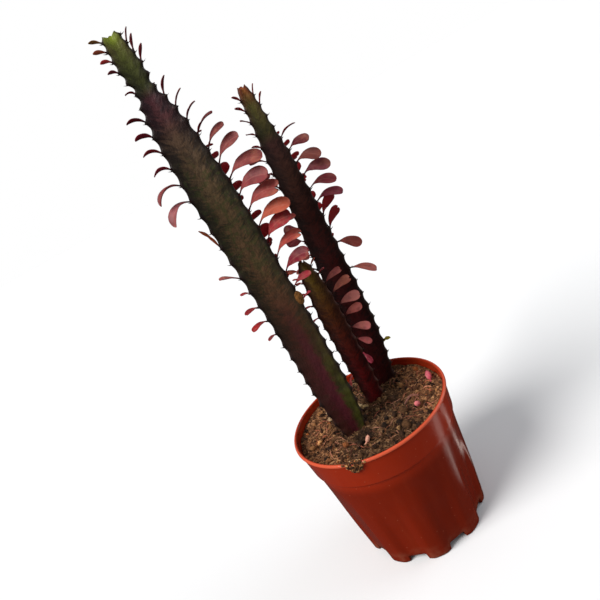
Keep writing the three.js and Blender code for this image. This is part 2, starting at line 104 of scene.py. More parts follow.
# Control points of a stem's section for each rib: four round its crest and one in the dip beside it
RIB_CORNERS = 5
CORNERS = RIB_CORNERS * RIBS
BURIED = 42
BOW_HEIGHT = 300
ROW_SPACING = 1.5
WAIST_SHARE = 0.42
FLANK_SHARE = 0.72
FLANK_FLARE = 1.1
TOOTH = 1.3
CREST_BASE = 0.6
CREST_SHARE = 0.05
FIRST_NODE = 5
TOP_CLEARANCE = 3
TIP_DIP = 3
TIP_BLUNT = 0.82
TIP_RINGS = (0.2, 0.45, 0.7, 0.88)
SPINE_LENGTH = 3.4
SHORT_SPINE = 2.3
SPINE_RADIUS = 0.5
SPINE_SPLAY = math.radians(38)
SPINE_RISE = math.radians(8)
ROOT_SINK = 1.4
LEAF_CLEARANCE = 2.5
SHORTEST_LEAF = 4
SPREAD = {"length": 0.16, "rise": 12, "heading": 26, "roll": 40}
TURN_STEPS = [0, 20, -20, 40, -40, 60, -60]
BLADE_SAMPLES = [0.35, 0.55, 0.75, 1]
WIDTH_SHARE = 0.43
BLADE_STEPS = 12
STALK_HALF = 0.6
ROLL_SHARE = 0.4
BUD = {"height": 136, "radius": 3.6, "stretch": 1.9, "wrinkle": 0.07, "tint": (136, 92, 46)}

# A place along a blade, and its half width there as a share of the greatest: rounded, then blunt
BLADE_OUTLINE = [
    [0, 0.17, 0.17], [0.09, 0.16, 0.16], [0.16, 0.21, 0.21], [0.26, 0.4, 0.36], [0.38, 0.63, 0.56],
    [0.5, 0.81, 0.74], [0.62, 0.94, 0.88], [0.72, 1.0, 0.97], [0.8, 0.99, 1.02], [0.87, 0.9, 1.02],
    [0.93, 0.74, 0.96], [0.97, 0.52, 0.86], [0.99, 0.32, 0.74], [1, 0.04, 0.55],
]
BLADE_ROWS = [0, 0.08, 0.16, 0.24, 0.32, 0.4, 0.48, 0.56, 0.64, 0.72, 0.8, 0.86, 0.91, 0.95, 0.98, 1.0]
BLADE_COLUMNS = [-1, -0.86, -0.55, -0.2, 0, 0.2, 0.55, 0.86, 1]
BLADE_THICKNESS = 0.95

# Heights are above the soil. A row of "ribs" is height, reach; of "pitch" height, spacing of the nodes;
# of "leaves" height, length, rise, arch, roll, or the height alone where none grows;
# of "tints" height and the blade's colour on a screen. "bow" bends the stem's axis, "turn" turns its ribs,
# and "aside" turns the leaves of each rib, in degrees.
STEMS = {
    "stem_tall": {
        "base": [-19, -8], "bow": [0, -8], "turn": -27, "aside": [0, -62, 0], "height": 372.5, "seed": 11,
        "ribs": [[-42, 10], [0, 11], [14, 14.5], [40, 17.5], [120, 18.2], [200, 19], [250, 19.2], [275, 17.5],
                 [300, 15.2], [316, 12.2], [323, 9.4], [331, 7.4], [341, 9.6], [348, 10.2], [360, 9],
                 [372.5, 7.4]],
        "pitch": [[0, 12], [120, 13.5], [200, 14.5], [290, 12.5], [312, 10], [345, 8.2], [372.5, 6]],
        "leaves": [
            [[130, 8, 20, 30, 20], [150, 22, 22, 60, 50], [166, 33, 20, 70, 45], [245, 35, 12, 80, 35],
             [262, 27, 22, 66, 20], [283, 21, 28, 60, 18], [310, 14, 42, 40, 15], [323, 12, 55, 40, -30],
             [324], [341], [342, 11, 58, 20, -24], [356, 11, 60, 20, -24],
             [363, 9, 62, 15, 10], [364]],
            [[120, 10, 5, 40, 0], [150, 27, 24, 50, -50], [225, 30, 24, 60, -50], [262, 26, 20, 70, -20],
             [300, 15, 35, 50, 0], [345, 9, 50, 30, 0], [372, 7, 60, 20, 0]],
            [[118, 9, -5, 40, 0], [133, 16, 0, 50, -20], [165, 8, 20, 40, 0], [176, 19, 32, 30, -30],
             [182], [193], [194, 21, 70, 20, 0], [207, 21, 70, 20, 0],
             [208], [240, 0, 0, 0, -30], [241, 27, -24, 125, -5],
             [260, 25, -12, 120, -5], [272, 17, 6, 85, 35], [290, 16, 16, 80, 40],
             [310, 14, 22, 70, 40], [313], [325], [326, 9, 20, 90, 20],
             [332, 9, 20, 90, 20], [334], [342], [343, 9, 20, 60, 45],
             [356, 9, 20, 60, 45], [362, 10, 14, 30, 40], [372, 8, 26, 20, 60]],
        ],
        "tints": [
            [[130, 205, 60, 85], [150, 160, 45, 65], [166, 165, 50, 68], [180, 208, 92, 80],
             [200, 205, 92, 78], [215, 190, 85, 80], [240, 172, 82, 82], [262, 155, 78, 78],
             [283, 122, 52, 56], [305, 96, 20, 34], [340, 96, 16, 32], [362, 100, 28, 34],
             [372, 110, 60, 40]],
            [[120, 170, 26, 40], [205, 170, 12, 28], [262, 150, 50, 56], [300, 110, 35, 42],
             [345, 104, 70, 40], [372, 104, 100, 42]],
            [[118, 180, 60, 65], [133, 205, 22, 36], [165, 205, 70, 72], [176, 210, 112, 98],
             [194, 168, 84, 38], [207, 168, 84, 38], [241, 190, 98, 92], [262, 172, 92, 88],
             [268, 130, 24, 38], [295, 112, 8, 26], [340, 90, 18, 30], [350, 92, 22, 32], [354, 186, 56, 50],
             [360, 178, 60, 48], [365, 122, 106, 40]],
        ],
    },
    "stem_right": {
        "base": [25, 43], "bow": [27.5, -15], "turn": -26, "aside": [0, -55, 0], "height": 301, "seed": 23,
        "ribs": [[-42, 12], [0, 14.5], [40, 17.5], [80, 17.5], [110, 16], [150, 14.5], [200, 13],
                 [235, 12.2], [262, 9], [285, 7], [301, 5]],
        "pitch": [[0, 12.5], [150, 13.5], [240, 12], [296, 8]],
        "leaves": [
            [[112, 10, -20, 40, 30], [120, 24, -26, 40, 30], [125, 24, -26, 40, 30],
             [126], [140], [141, 23, -22, 50, 40], [154, 23, -22, 50, 40],
             [155, 19, 42, 35, -50], [176, 21, 38, 40, -50], [187, 28, -2, 80, 35],
             [202, 31, -6, 80, 35], [231, 25, -8, 80, 35], [244, 18, 8, 60, 30], [254, 16, 33, 50, 0],
             [262], [276], [280, 9, 60, 20, 0], [301, 6, 55, 20, 0]],
            [[110, 12, 0, 40, 0], [150, 24, 18, 50, -50], [190, 28, 18, 60, -50],
             [225, 27, 18, 60, -50], [246, 16, 25, 50, -30], [262, 9, 45, 30, 0], [301, 6, 60, 20, 0]],
            [[118, 12, 0, 40, -40], [150, 24, 15, 60, -45], [225, 27, 8, 80, -40],
             [250, 10, 28, 40, 0], [284, 10, 37, 30, 0], [301, 6, 60, 20, 0]],
        ],
        "tints": [
            [[112, 232, 112, 84], [125, 228, 110, 90], [143, 216, 100, 98], [155, 140, 50, 62],
             [170, 168, 58, 68], [190, 170, 62, 74], [205, 172, 78, 80], [231, 150, 74, 76],
             [245, 132, 50, 58], [256, 100, 14, 30], [280, 130, 60, 48], [301, 150, 60, 45]],
            [[110, 160, 62, 68], [160, 175, 8, 22], [225, 175, 6, 18], [246, 140, 40, 46],
             [301, 150, 80, 45]],
            [[118, 190, 84, 82], [160, 180, 70, 74], [225, 168, 64, 66], [250, 120, 12, 24],
             [284, 96, 26, 34], [301, 120, 50, 40]],
        ],
    },
    "stem_short": {
        "base": [11, 22], "bow": [0, 0], "turn": -22, "aside": [0, 0, 0], "height": 152, "seed": 37,
        "ribs": [[-42, 9], [0, 9.5], [25, 10.5], [60, 11.2], [100, 11.6], [115, 11], [130, 9.5],
                 [142, 7], [152, 4.2]],
        "pitch": [[0, 12], [110, 12], [152, 8]],
        "leaves": [
            [[56, 9, -30, 30, 50], [71, 17, -24, 30, 50], [85, 19, 4, 40, 50], [97, 21, 8, 40, 50],
             [112, 21, 22, 40, 50], [124, 21, 13, 40, 45], [133, 8, 25, 30, 0], [152, 7, 50, 20, 0]],
            [[78, 9, 0, 40, 0], [120, 15, 20, 50, 0], [152, 8, 50, 20, 0]],
            [[96, 7, 0, 30, 0], [136, 9, 20, 40, -30], [144, 14, 22, 40, -40], [152, 9, 40, 30, 0]],
        ],
        "tints": [
            [[56, 214, 112, 112], [71, 214, 112, 104], [97, 206, 118, 104], [124, 198, 112, 104],
             [133, 190, 80, 92], [152, 204, 120, 90]],
            [[78, 170, 70, 80], [152, 180, 90, 70]],
            [[96, 196, 70, 92], [136, 208, 72, 62], [144, 210, 82, 64], [152, 200, 92, 80]],
        ],
    },
}
TALL, SHORT = STEMS["stem_tall"], STEMS["stem_short"]

# Small curled or dried leaves low on the stems
EXTRA_WIDTH_SHARE = 0.6
EXTRA_ROLL = math.radians(40)
EXTRA_LEAVES = {
    "stem_short": [
        {"rib": 0, "height": 49, "turn": -20, "length": 13, "rise": -72, "arch": 30, "tint": (222, 88, 110)},
        {"rib": 2, "height": 36, "turn": -15, "length": 12, "rise": -58, "arch": 50, "tint": (206, 92, 92)},
        {"rib": 2, "height": 24, "turn": 15, "length": 7, "rise": -50, "arch": 40, "tint": (150, 92, 60)},
    ],
    "stem_right": [
        {"rib": 0, "height": 41, "turn": -10, "length": 9, "rise": 12, "arch": 30, "tint": (210, 204, 70)},
    ],
}

# Loose pieces
FALLEN_LEAVES = {
    "fallen_leaf_right": {"at": [62, -4], "heading": 80, "length": 13, "rise": 26, "arch": -50, "roll": 50,
                          "tint": (216, 96, 112)},
    "fallen_leaf_middle": {"at": [42, -22], "heading": 250, "length": 12, "rise": 30, "arch": -60,
                           "roll": -40, "tint": (232, 128, 132)},
    "fallen_leaf_front": {"at": [-17, -37], "heading": 20, "length": 9, "rise": 40, "arch": -70, "roll": 30,
                          "tint": (226, 168, 142)},
}
FALLEN_WIDTH_SHARE = 0.3
FALLEN_LIFT = 1.2
BEAN_WIDTH = 1.4
PEBBLE = {"at": [-7, 17], "radius": 4.6, "flattened": 0.8, "lumps": 0.12, "lift": 1.4,
          "tint": (168, 146, 112)}

# The stems' colours by height: up the middle of the faces, and beside the ribs
SKINS = {
    "stem_tall": {
        "middle": [(0, (72, 24, 24)), (40, (80, 26, 34)), (90, (80, 36, 30)), (125, (92, 50, 34)),
                   (160, (100, 68, 44)), (240, (104, 82, 54)), (290, (98, 74, 56)), (306, (90, 48, 50)),
                   (323, (80, 38, 46)), (331, (72, 74, 38)), (345, (84, 90, 38)), (360, (96, 102, 38)),
                   (372, (138, 156, 34))],
        "edge": [(0, (66, 34, 27)), (60, (70, 32, 28)), (125, (56, 40, 26)), (200, (44, 42, 24)),
                 (255, (44, 38, 26)), (288, (40, 28, 24)), (306, (42, 20, 26)), (323, (42, 18, 27)),
                 (330, (44, 44, 24)), (346, (54, 56, 24)), (362, (84, 78, 36)), (372, (112, 122, 34))],
        "crest": (34, 20, 18),
    },
    "stem_right": {
        "middle": [(0, (76, 12, 13)), (60, (86, 8, 12)), (130, (86, 12, 10)), (180, (78, 26, 14)),
                   (220, (96, 58, 44)), (250, (94, 56, 50)), (260, (88, 82, 42)), (284, (106, 100, 44)),
                   (301, (158, 90, 38))],
        "edge": [(0, (42, 11, 10)), (90, (40, 8, 8)), (190, (44, 15, 9)), (225, (56, 32, 26)),
                 (248, (56, 32, 30)), (260, (56, 54, 26)), (284, (86, 68, 34)), (301, (128, 56, 28))],
        "crest": (50, 30, 26),
    },
    "stem_short": {
        "middle": [(0, (112, 10, 14)), (40, (116, 12, 14)), (80, (116, 42, 14)), (115, (122, 78, 14)),
                   (140, (124, 102, 20)), (152, (118, 96, 38))],
        "edge": [(0, (66, 8, 10)), (60, (62, 10, 10)), (100, (72, 30, 10)), (140, (80, 54, 16)),
                 (152, (88, 62, 28))],
        "crest": (70, 36, 26),
    },
}
RAMP_HEIGHT = 400.0

# Stage
FLOOR_HALF = 6.0
FLOOR_DROP = 0.0003
TARGET = (0, 0, 0.1)


def linear(red, green, blue):
    """A colour as shown on a screen, 0 to 255, as the linear values that a shader takes."""
    def channel(value):
        share = value / 255
        return share / 12.92 if share <= 0.04045 else ((share + 0.055) / 1.055) ** 2.4
    return (channel(red), channel(green), channel(blue), 1.0)


def smooth_step(low, high, value):
    """0 at low, 1 at high and smooth between them, whichever of the two is greater."""
    share = np.clip((value - low) / (high - low), 0, 1)
    return share * share * (3 - 2 * share)


def between(first, second, share):
    return first + (second - first) * share


def table_value(table, height, column=1):
    """A column's value at a height, where a row of a height alone has zeros after it."""
    return np.interp(height, [row[0] for row in table], [row[column] if row[1:] else 0 for row in table])


def circle(count):
    """Evenly spaced angles all the way round."""
    return np.arange(count) * 2 * math.pi / count


def polar(radius, angle):
    return radius * math.cos(angle), radius * math.sin(angle)


def outward(angle):
    """The level direction at an angle."""
    return np.array([math.cos(angle), math.sin(angle), 0.0])


UP = np.array([0, 0, 1.0])


def seeded_random(seed):
    """The part's own repeatable random numbers, so that every leaf grows where its solid does."""
    state = seed

    def draw():
        nonlocal state
        state = (state + 0x6D2B79F5) & 0xFFFFFFFF
        mixed = ((state ^ (state >> 15)) * (1 | state)) & 0xFFFFFFFF
        mixed = ((mixed + ((mixed ^ (mixed >> 7)) * (61 | mixed) & 0xFFFFFFFF)) ^ mixed) & 0xFFFFFFFF
        return (mixed ^ (mixed >> 14)) / 4294967296
    return draw


# Meshes

def add_object(name, data):
    thing = bpy.data.objects.new(name, data)
    bpy.context.scene.collection.objects.link(thing)
    return thing


class Surface:
    """Collects the points, faces and per-point values of one mesh, in millimetres."""

    def __init__(self):
        self.points, self.marks, self.tints = [], [], []
        self.faces, self.looks = [], []
        self.total = 0

    def add(self, points, faces, look=0, marks=(0, 0, 0), tint=(1, 1, 1, 1)):
        points = np.asarray(points, float).reshape(-1, 3)
        count = len(points)
        for group in faces:
            group = (np.asarray(group) + self.total).tolist()
            self.faces += group
            self.looks += [look] * len(group)
        self.points.append(points)
        self.marks.append(np.broadcast_to(np.asarray(marks, float), (count, 3)))
        self.tints.append(np.broadcast_to(np.asarray(tint, float), (count, 4)))
        self.total += count

    def build(self, name, looks, node, crease=None):
        mesh = bpy.data.meshes.new(name)
        mesh.from_pydata((np.concatenate(self.points) * MM).tolist(), [], self.faces)
        mesh.polygons.foreach_set("material_index", self.looks)
        for look in looks:
            mesh.materials.append(look)
        for key, kind, part, rows in (("marks", "FLOAT_VECTOR", "vector", self.marks),
                                      ("tint", "FLOAT_COLOR", "color", self.tints)):
            values = np.concatenate(rows).astype(np.float32).ravel()
            mesh.attributes.new(key, kind, "POINT").data.foreach_set(part, values)
        work = bmesh.new()
        work.from_mesh(mesh)
        bmesh.ops.recalc_face_normals(work, faces=work.faces)
        work.to_mesh(mesh)
        work.free()
        mesh.shade_smooth()
        if crease is not None:
            mesh.set_sharp_from_angle(angle=math.radians(crease))
        piece = add_object(name, mesh)
        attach(piece, "root")
        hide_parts(node)


def ring_faces(rows, columns):
    """Quads of a grid of rows whose columns close on themselves."""
    index = np.arange(rows * columns).reshape(rows, columns)
    low, high = index[:-1], index[1:]
    quads = np.stack([low, np.roll(low, -1, 1), np.roll(high, -1, 1), high], -1)
    return quads.reshape(-1, 4)


def fan_faces(first, columns, centre):
    """Triangles from a ring of points to one point."""
    ring = first + np.arange(columns)
    return np.stack([ring, np.roll(ring, -1), np.full(columns, centre)], -1)


def closed_faces(rows, columns):
    """Faces of a grid of rings, whose first and last close on the two points that follow them."""
    total = rows * columns
    return [ring_faces(rows, columns), fan_faces(0, columns, total),
            fan_faces(total - columns, columns, total + 1)]


@functools.cache
def unit_ball(steps):
    """Points and faces of a ball of radius 1, finer with each step."""
    work = bmesh.new()
    bmesh.ops.create_icosphere(work, subdivisions=steps, radius=1)
    points = np.array([vertex.co[:] for vertex in work.verts])
    faces = np.array([[vertex.index for vertex in face.verts] for face in work.faces])
    work.free()
    return points, faces


def rounded(points, reach, steps):
    """A line of points with each inner corner rounded, starting at most reach before it."""
    points = [np.asarray(point, float) for point in points]
    line = [points[0]]
    for before, corner, after in zip(points, points[1:], points[2:]):
        start, end = (corner + way * min(0.48, reach / np.linalg.norm(way))
                      for way in (before - corner, after - corner))
        for step in range(steps + 1):
            share = step / steps
            line.append((1 - share) ** 2 * start + 2 * share * (1 - share) * corner + share ** 2 * end)
    return np.array(line + points[-1:])


def add_strand(surface, path, radius, tint, look=1, sides=5, taper=0.35):
    """A thin closed tube along a line of points."""
    path = np.asarray(path, float)
    count = len(path)
    along = np.gradient(path, axis=0)
    along /= np.linalg.norm(along, axis=1)[:, None]
    across = np.cross(along, [0.13, 0.21, 0.97])
    across /= np.linalg.norm(across, axis=1)[:, None]
    over = np.cross(along, across)
    turn = circle(sides)[:, None]
    ends = 1 - (1 - taper) * np.abs(np.linspace(-1, 1, count)) ** 3
    reach = (radius * ends)[:, None, None]
    rings = path[:, None] + reach * (across[:, None] * np.cos(turn) + over[:, None] * np.sin(turn))
    points = np.concatenate([rings.reshape(-1, 3), path[:1], path[-1:]])
    surface.add(points, closed_faces(count, sides), look, tint=tint)


# Node trees

class Nodes:
    """A node tree, with short calls for its nodes."""

    def __init__(self, tree):
        self.tree = tree

    def node(self, kind, values=None, **settings):
        node = self.tree.nodes.new(kind)
        for key, value in settings.items():
            setattr(node, key, value)
        for key, value in (values or {}).items():
            self.put(node.inputs[key], value)
        return node

    def put(self, socket, value):
        if isinstance(value, bpy.types.NodeSocket):
            self.tree.links.new(value, socket)
        else:
            socket.default_value = value


class Look(Nodes):
    """A material, with short calls for the nodes that the surfaces share."""

    def __init__(self, name, roughness=0.5, specular=0.5):
        self.material = bpy.data.materials.new(name)
        self.material.use_nodes = True
        super().__init__(self.material.node_tree)
        self.shader = self.tree.nodes["Principled BSDF"]
        self.set("Roughness", roughness)
        self.set("Specular IOR Level", specular)

    def set(self, name, value):
        self.put(self.shader.inputs[name], value)

    def dress(self, colour, normal=None, roughness=None):
        """Links the colour, the bumps and the roughness to the shader, and gives the material."""
        for name, value in (("Base Color", colour), ("Normal", normal), ("Roughness", roughness)):
            if value is not None:
                self.set(name, value)
        return self.material

    @functools.cached_property
    def place(self):
        return self.node("ShaderNodeTexCoord").outputs["Object"]

    @functools.cached_property
    def across(self):
        return self.split(self.place)

    @functools.cached_property
    def marks(self):
        return self.split(self.attribute("marks", "Vector"))

    @functools.cached_property
    def tint(self):
        return self.attribute("tint", "Color")

    def attribute(self, name, output):
        return self.node("ShaderNodeAttribute", attribute_name=name).outputs[output]

    def split(self, vector):
        return self.node("ShaderNodeSeparateXYZ", {0: vector}).outputs

    def noise(self, scale, detail=4, rough=0.55, warp=0.0, stretch=None, vector=None):
        if vector is None:
            vector = self.place
        if stretch:
            vector = self.node("ShaderNodeMapping", {"Vector": vector, "Scale": stretch}).outputs[0]
        values = {"Vector": vector, "Scale": scale, "Detail": detail, "Roughness": rough, "Distortion": warp}
        return self.node("ShaderNodeTexNoise", values).outputs["Fac"]

    def cells(self, scale, output="Distance"):
        return self.node("ShaderNodeTexVoronoi", {"Vector": self.place, "Scale": scale}).outputs[output]

    def math(self, operation, first, second=0.0):
        return self.node("ShaderNodeMath", {0: first, 1: second}, operation=operation).outputs[0]

    def times(self, *values):
        return functools.reduce(lambda first, second: self.math("MULTIPLY", first, second), values)

    def plus(self, *values):
        return functools.reduce(lambda first, second: self.math("ADD", first, second), values)

    def range(self, value, low, high, to_low=0.0, to_high=1.0):
        values = {0: value, 1: low, 2: high, 3: to_low, 4: to_high}
        return self.node("ShaderNodeMapRange", values, interpolation_type="SMOOTHSTEP").outputs[0]

    def ramp(self, value, stops):
        node = self.node("ShaderNodeValToRGB", {0: value})
        elements = node.color_ramp.elements
        while len(elements) < len(stops):
            elements.new(0.5)
        for element, (position, _) in zip(elements, stops):
            element.position = position
        for element, (_, colour) in zip(elements, stops):
            element.color = linear(*colour)
        return node.outputs["Color"]

    def mix(self, share, first, second, blend="MIX"):
        """Two colours mixed: three numbers are a colour on a screen, four are linear."""
        node = self.node("ShaderNodeMix", data_type="RGBA", blend_type=blend)
        for place, value in ((0, share), (6, first), (7, second)):
            is_screen = isinstance(value, tuple) and len(value) == 3
            self.put(node.inputs[place], linear(*value) if is_screen else value)
        return node.outputs[2]

    def bump(self, height, strength, distance, normal=None):
        values = {"Height": height, "Strength": strength, "Distance": distance}
        if normal is not None:
            values["Normal"] = normal
        return self.node("ShaderNodeBump", values).outputs[0]


# Pot

def flute(angle, height):
    """How far the wall stands out or in: out over each foot, in over each notch, with soft edges."""
    wave = 1.6 * np.cos(FOOT_COUNT * (angle - FOOT_PHASE))
    wave = wave / (1 + np.abs(wave) ** 5) ** 0.2
    return FLUTE_DEPTH * wave * (1 - smooth_step(*FLUTE_FADE, height))


def body_radius(height):
    return between(FOOT_RADIUS, BODY_TOP_RADIUS, height / BODY_TOP)


def band_radius(height):
    return between(BAND_LOW_RADIUS, BAND_TOP_RADIUS, (height - BODY_TOP) / (BAND_HEIGHT - LIP_HEIGHT))


def pot_angles():
    """The pot's columns, closer together at the notches' sides, and how far each is from a foot's middle."""
    sides = np.linspace(7.6, 9.9, 9)
    offsets = np.unique(np.concatenate([np.linspace(-20, 20, 41)[:-1], sides, -sides]).round(3))
    turns = [FOOT_PHASE + math.radians(20 + 40 * foot) + np.radians(offsets) for foot in range(FOOT_COUNT)]
    return np.concatenate(turns), np.tile(offsets, FOOT_COUNT)


def pot_rows():
    """The shell's section from its floor up the outside, over the lip and down inside."""
    outside = [[body_radius(height), height] for height in np.linspace(FLOOR_TOP, BODY_TOP, 30)]
    inside = [[body_radius(height) - WALL, height]
              for height in np.linspace(BODY_TOP - STEP_DROP, FLOOR_TOP, 12)]
    top = [
        *outside[-2:], [BAND_LOW_RADIUS, BODY_TOP + STEP_RISE], [BAND_TOP_RADIUS, LIP_BOTTOM],
        [RIM_RADIUS, LIP_BOTTOM + 0.7], [RIM_RADIUS, LIP_BOTTOM + 2.2], [RIM_RADIUS - 1, POT_HEIGHT],
        [RIM_RADIUS - 2.3, POT_HEIGHT], [RIM_RADIUS - 3.1, POT_HEIGHT - 1],
        [BAND_TOP_RADIUS - WALL, LIP_BOTTOM - 1], [BAND_LOW_RADIUS - WALL, BODY_TOP + STEP_RISE],
        [BODY_TOP_RADIUS - WALL, BODY_TOP - STEP_DROP], inside[1],
    ]
    return np.array(outside[1:-2] + rounded(top, 0.7, 3).tolist() + inside[2:])


def make_pot(looks):
    angles, offsets = pot_angles()
    lowest = NOTCH_HEIGHT * (1 - smooth_step(*NOTCH_SIDE, np.abs(offsets)))
    inner = FOOT_RADIUS - FOOT_WIDTH
    rows = []

    def row(radius, heights):
        heights = np.broadcast_to(heights, angles.shape)
        reach = radius + flute(angles, heights)
        rows.append(np.stack([reach * np.cos(angles), reach * np.sin(angles), heights], -1))

    for share in (0, 0.4, 0.75, 0.95):
        row(inner, between(FLOOR_TOP - WALL, lowest, share))
    row(inner + FOOT_ROUNDING, lowest)
    row(FOOT_RADIUS - FOOT_ROUNDING, lowest)
    for share in (0.06, 0.3, 0.65, 1):
        row(between(FOOT_RADIUS, body_radius(FLOOR_TOP), share), between(lowest, FLOOR_TOP, share))
    for radius, height in pot_rows():
        row(radius, height)
    pot = Surface()
    pot.add(rows, [ring_faces(len(rows), len(angles))])
    add_floor(pot, rows[0], rows[-1])
    pot.build("pot_shell", looks, "pot", crease=40)


def add_floor(pot, low_ring, high_ring):
    """The floor's two faces between the wall and the drain holes, and the holes' walls."""
    turn = circle(DRAIN_SIDES)
    middles = [DRAIN_CIRCLE * outward(FOOT_PHASE + (notch + 0.5) * 2 * math.pi / FOOT_COUNT)[:2]
               for notch in range(FOOT_COUNT)]
    holes = [middle + DRAIN_RADIUS * np.stack([np.cos(turn), np.sin(turn)], -1) for middle in middles]
    for ring in (low_ring, high_ring):
        loops = [ring[:, :2]] + holes
        edges, first = [], 0
        for loop in loops:
            count = len(loop)
            edges += [(first + k, first + (k + 1) % count) for k in range(count)]
            first += count
        flat = [Vector(spot) for spot in np.concatenate(loops)]
        spots, _, faces, *_ = geometry.delaunay_2d_cdt(flat, edges, [], 1, 1e-6)
        spots = np.array([spot[:] for spot in spots])
        kept = [face for face in faces if all(
            np.linalg.norm(spots[list(face)].mean(0) - middle) > DRAIN_RADIUS * 0.98 for middle in middles)]
        pot.add(np.hstack([spots, np.full((len(spots), 1), ring[0][2])]), [kept])
    for hole in holes:
        ends = [np.hstack([hole, np.full((DRAIN_SIDES, 1), ring[0][2])]) for ring in (low_ring, high_ring)]
        pot.add(ends, [ring_faces(2, DRAIN_SIDES)])


def pot_look():
    look = Look("pot_plastic", specular=0.36)
    x, y, height = look.across
    reach = look.math("SQRT", look.plus(look.times(x, x), look.times(y, y)))
    broad = look.noise(1, 3, stretch=(18, 18, 6))
    # Painted shade: the body below the band is coloured darker than the band, and the two blend from 90 to
    # 108 mm up, standing in for the shade on the wall under the rim.
    band = look.mix(broad, (176, 50, 18), (156, 40, 14))
    body = look.mix(broad, (140, 36, 8), (114, 27, 7))
    base = look.mix(look.range(height, 0.09, 0.108), body, band)
    # Moulding flow marks, a little dust near the foot and pale specks
    flow = look.noise(1, 3, stretch=(150, 150, 14))
    base = look.mix(look.range(flow, 0.45, 0.8, 0, 0.07), base, (182, 74, 42))
    dust = look.times(look.range(height, 0.02, 0.0), look.range(look.noise(90, 5), 0.35, 0.7), 0.3)
    base = look.mix(dust, base, (176, 128, 100))
    base = look.mix(look.range(look.cells(130), 0.09, 0.04, 0, 0.3), base, (206, 120, 90))
    # Painted highlight: the outer edge of the lip is paler, standing in for the light on its rounded top.
    lip = look.range(height, LIP_BOTTOM * MM, (LIP_BOTTOM + 1.2) * MM, 0, 0.9)
    base = look.mix(look.times(lip, look.range(reach, 0.0728, 0.0738)), base, (214, 92, 62))
    grain = look.bump(look.noise(900, 3), 0.12, 0.0004)
    normal = look.bump(look.noise(1, 2, stretch=(40, 40, 12)), 0.35, 0.0015, grain)
    return look.dress(base, normal, look.range(look.noise(60, 6, 0.65), 0.3, 0.75, 0.15, 0.27))


# Soil

def soil_height(x, y):
    height = SOIL_LEVEL + SOIL_RISE * y / RIM_RADIUS
    for along_x, along_y, start, size in SOIL_WAVES:
        height = height + size * np.sin(x * along_x + start) * np.cos(y * along_y)
    stem_x, stem_y = TALL["base"]
    away = (x - stem_x - HOLLOW["aside"]) ** 2 + (y - stem_y + HOLLOW["before"]) ** 2
    return height - HOLLOW["depth"] * np.exp(-away / HOLLOW["spread"])


def soil_top(x, y, share=1):
    """The soil's height with this share of its clods and grains."""
    spot = Vector((x * 0.09, y * 0.09, 3.0))
    clods = noise.fractal(spot, 1.0, 2.0, 3)
    grains = noise.fractal(spot * 5.5, 0.8, 2.1, 3)
    return soil_height(x, y) + (1.5 * clods + 1.0 * grains) * share


def pick_tint(chance):
    weights = np.array([weight for weight, _ in SOIL_TINTS])
    place = chance.choice(len(SOIL_TINTS), p=weights / weights.sum())
    colour = np.array(SOIL_TINTS[place][1]) * chance.uniform(0.82, 1.16)
    return linear(*np.clip(colour, 0, 255))


def add_lump(surface, steps, centre, size, chance, tint):
    """A small uneven grain, turned at random."""
    points, faces = unit_ball(steps)
    stretch = size * chance.uniform(0.6, 1.2, 3)
    uneven = points * (1 + 0.22 * chance.standard_normal((len(points), 1)))
    angle = chance.uniform(0, 6.28)
    turn = np.array(Matrix.Rotation(angle, 3, Vector(chance.standard_normal(3)).normalized()))
    surface.add(centre + (uneven * stretch) @ turn.T, [faces], 1, tint=tint)


def make_soil(looks):
    chance = np.random.RandomState(5)
    angles = circle(SOIL_COLUMNS)
    slack = WALL + GAP
    edge = band_radius(SOIL_LEVEL) - slack
    rows = []
    for radius, height in ((FOOT_RADIUS - slack - FLUTE_DEPTH, FLOOR_TOP + GAP),
                           (body_radius(52) - slack - FLUTE_DEPTH, 52),
                           (BODY_TOP_RADIUS - slack, BODY_TOP - STEP_DROP),
                           (BAND_LOW_RADIUS - slack, BODY_TOP + STEP_RISE + GAP)):
        rows.append([[*polar(radius, angle), height] for angle in angles])
    for radius in [edge, *np.linspace(edge - 0.8, 1.0, SOIL_RINGS)]:
        spots = [polar(radius, angle) for angle in angles]
        rows.append([[x, y, soil_top(x, y, 0.3 if radius == edge else 1)] for x, y in spots])
    ends = [[0, 0, FLOOR_TOP + GAP], [0, 0, soil_top(0, 0)]]
    soil = Surface()
    soil.add(np.concatenate([np.array(rows).reshape(-1, 3), ends]), closed_faces(len(rows), SOIL_COLUMNS))
    scatter_grains(soil, chance, edge)
    scatter_fibres(soil, chance, edge)
    add_twig(soil)
    spill_grains(soil, chance)
    x, y = TAN_CLOD["at"]
    place = [x, y, soil_height(x, y) + TAN_CLOD["lift"]]
    add_lump(soil, 2, place, TAN_CLOD["size"], chance, linear(*TAN_CLOD["tint"]))
    soil.build("potting_soil", looks, "soil")


def open_spot(chance, edge):
    """A random place on the soil that no stem stands on."""
    while True:
        radius = (edge - 1.5) * math.sqrt(chance.uniform(0, 1))
        x, y = polar(radius, chance.uniform(0, 2 * math.pi))
        if all(math.hypot(x - stem["base"][0], y - stem["base"][1]) > stem["ribs"][1][1] * 0.8
               for stem in STEMS.values()):
            return x, y


def scatter_grains(soil, chance, edge):
    for count, steps, low, high in GRAINS:
        for _ in range(count):
            x, y = open_spot(chance, edge - high)
            size = chance.uniform(low, high)
            z = soil_top(x, y) + size * chance.uniform(-0.1, 0.45)
            add_lump(soil, steps, [x, y, z], size, chance, pick_tint(chance))


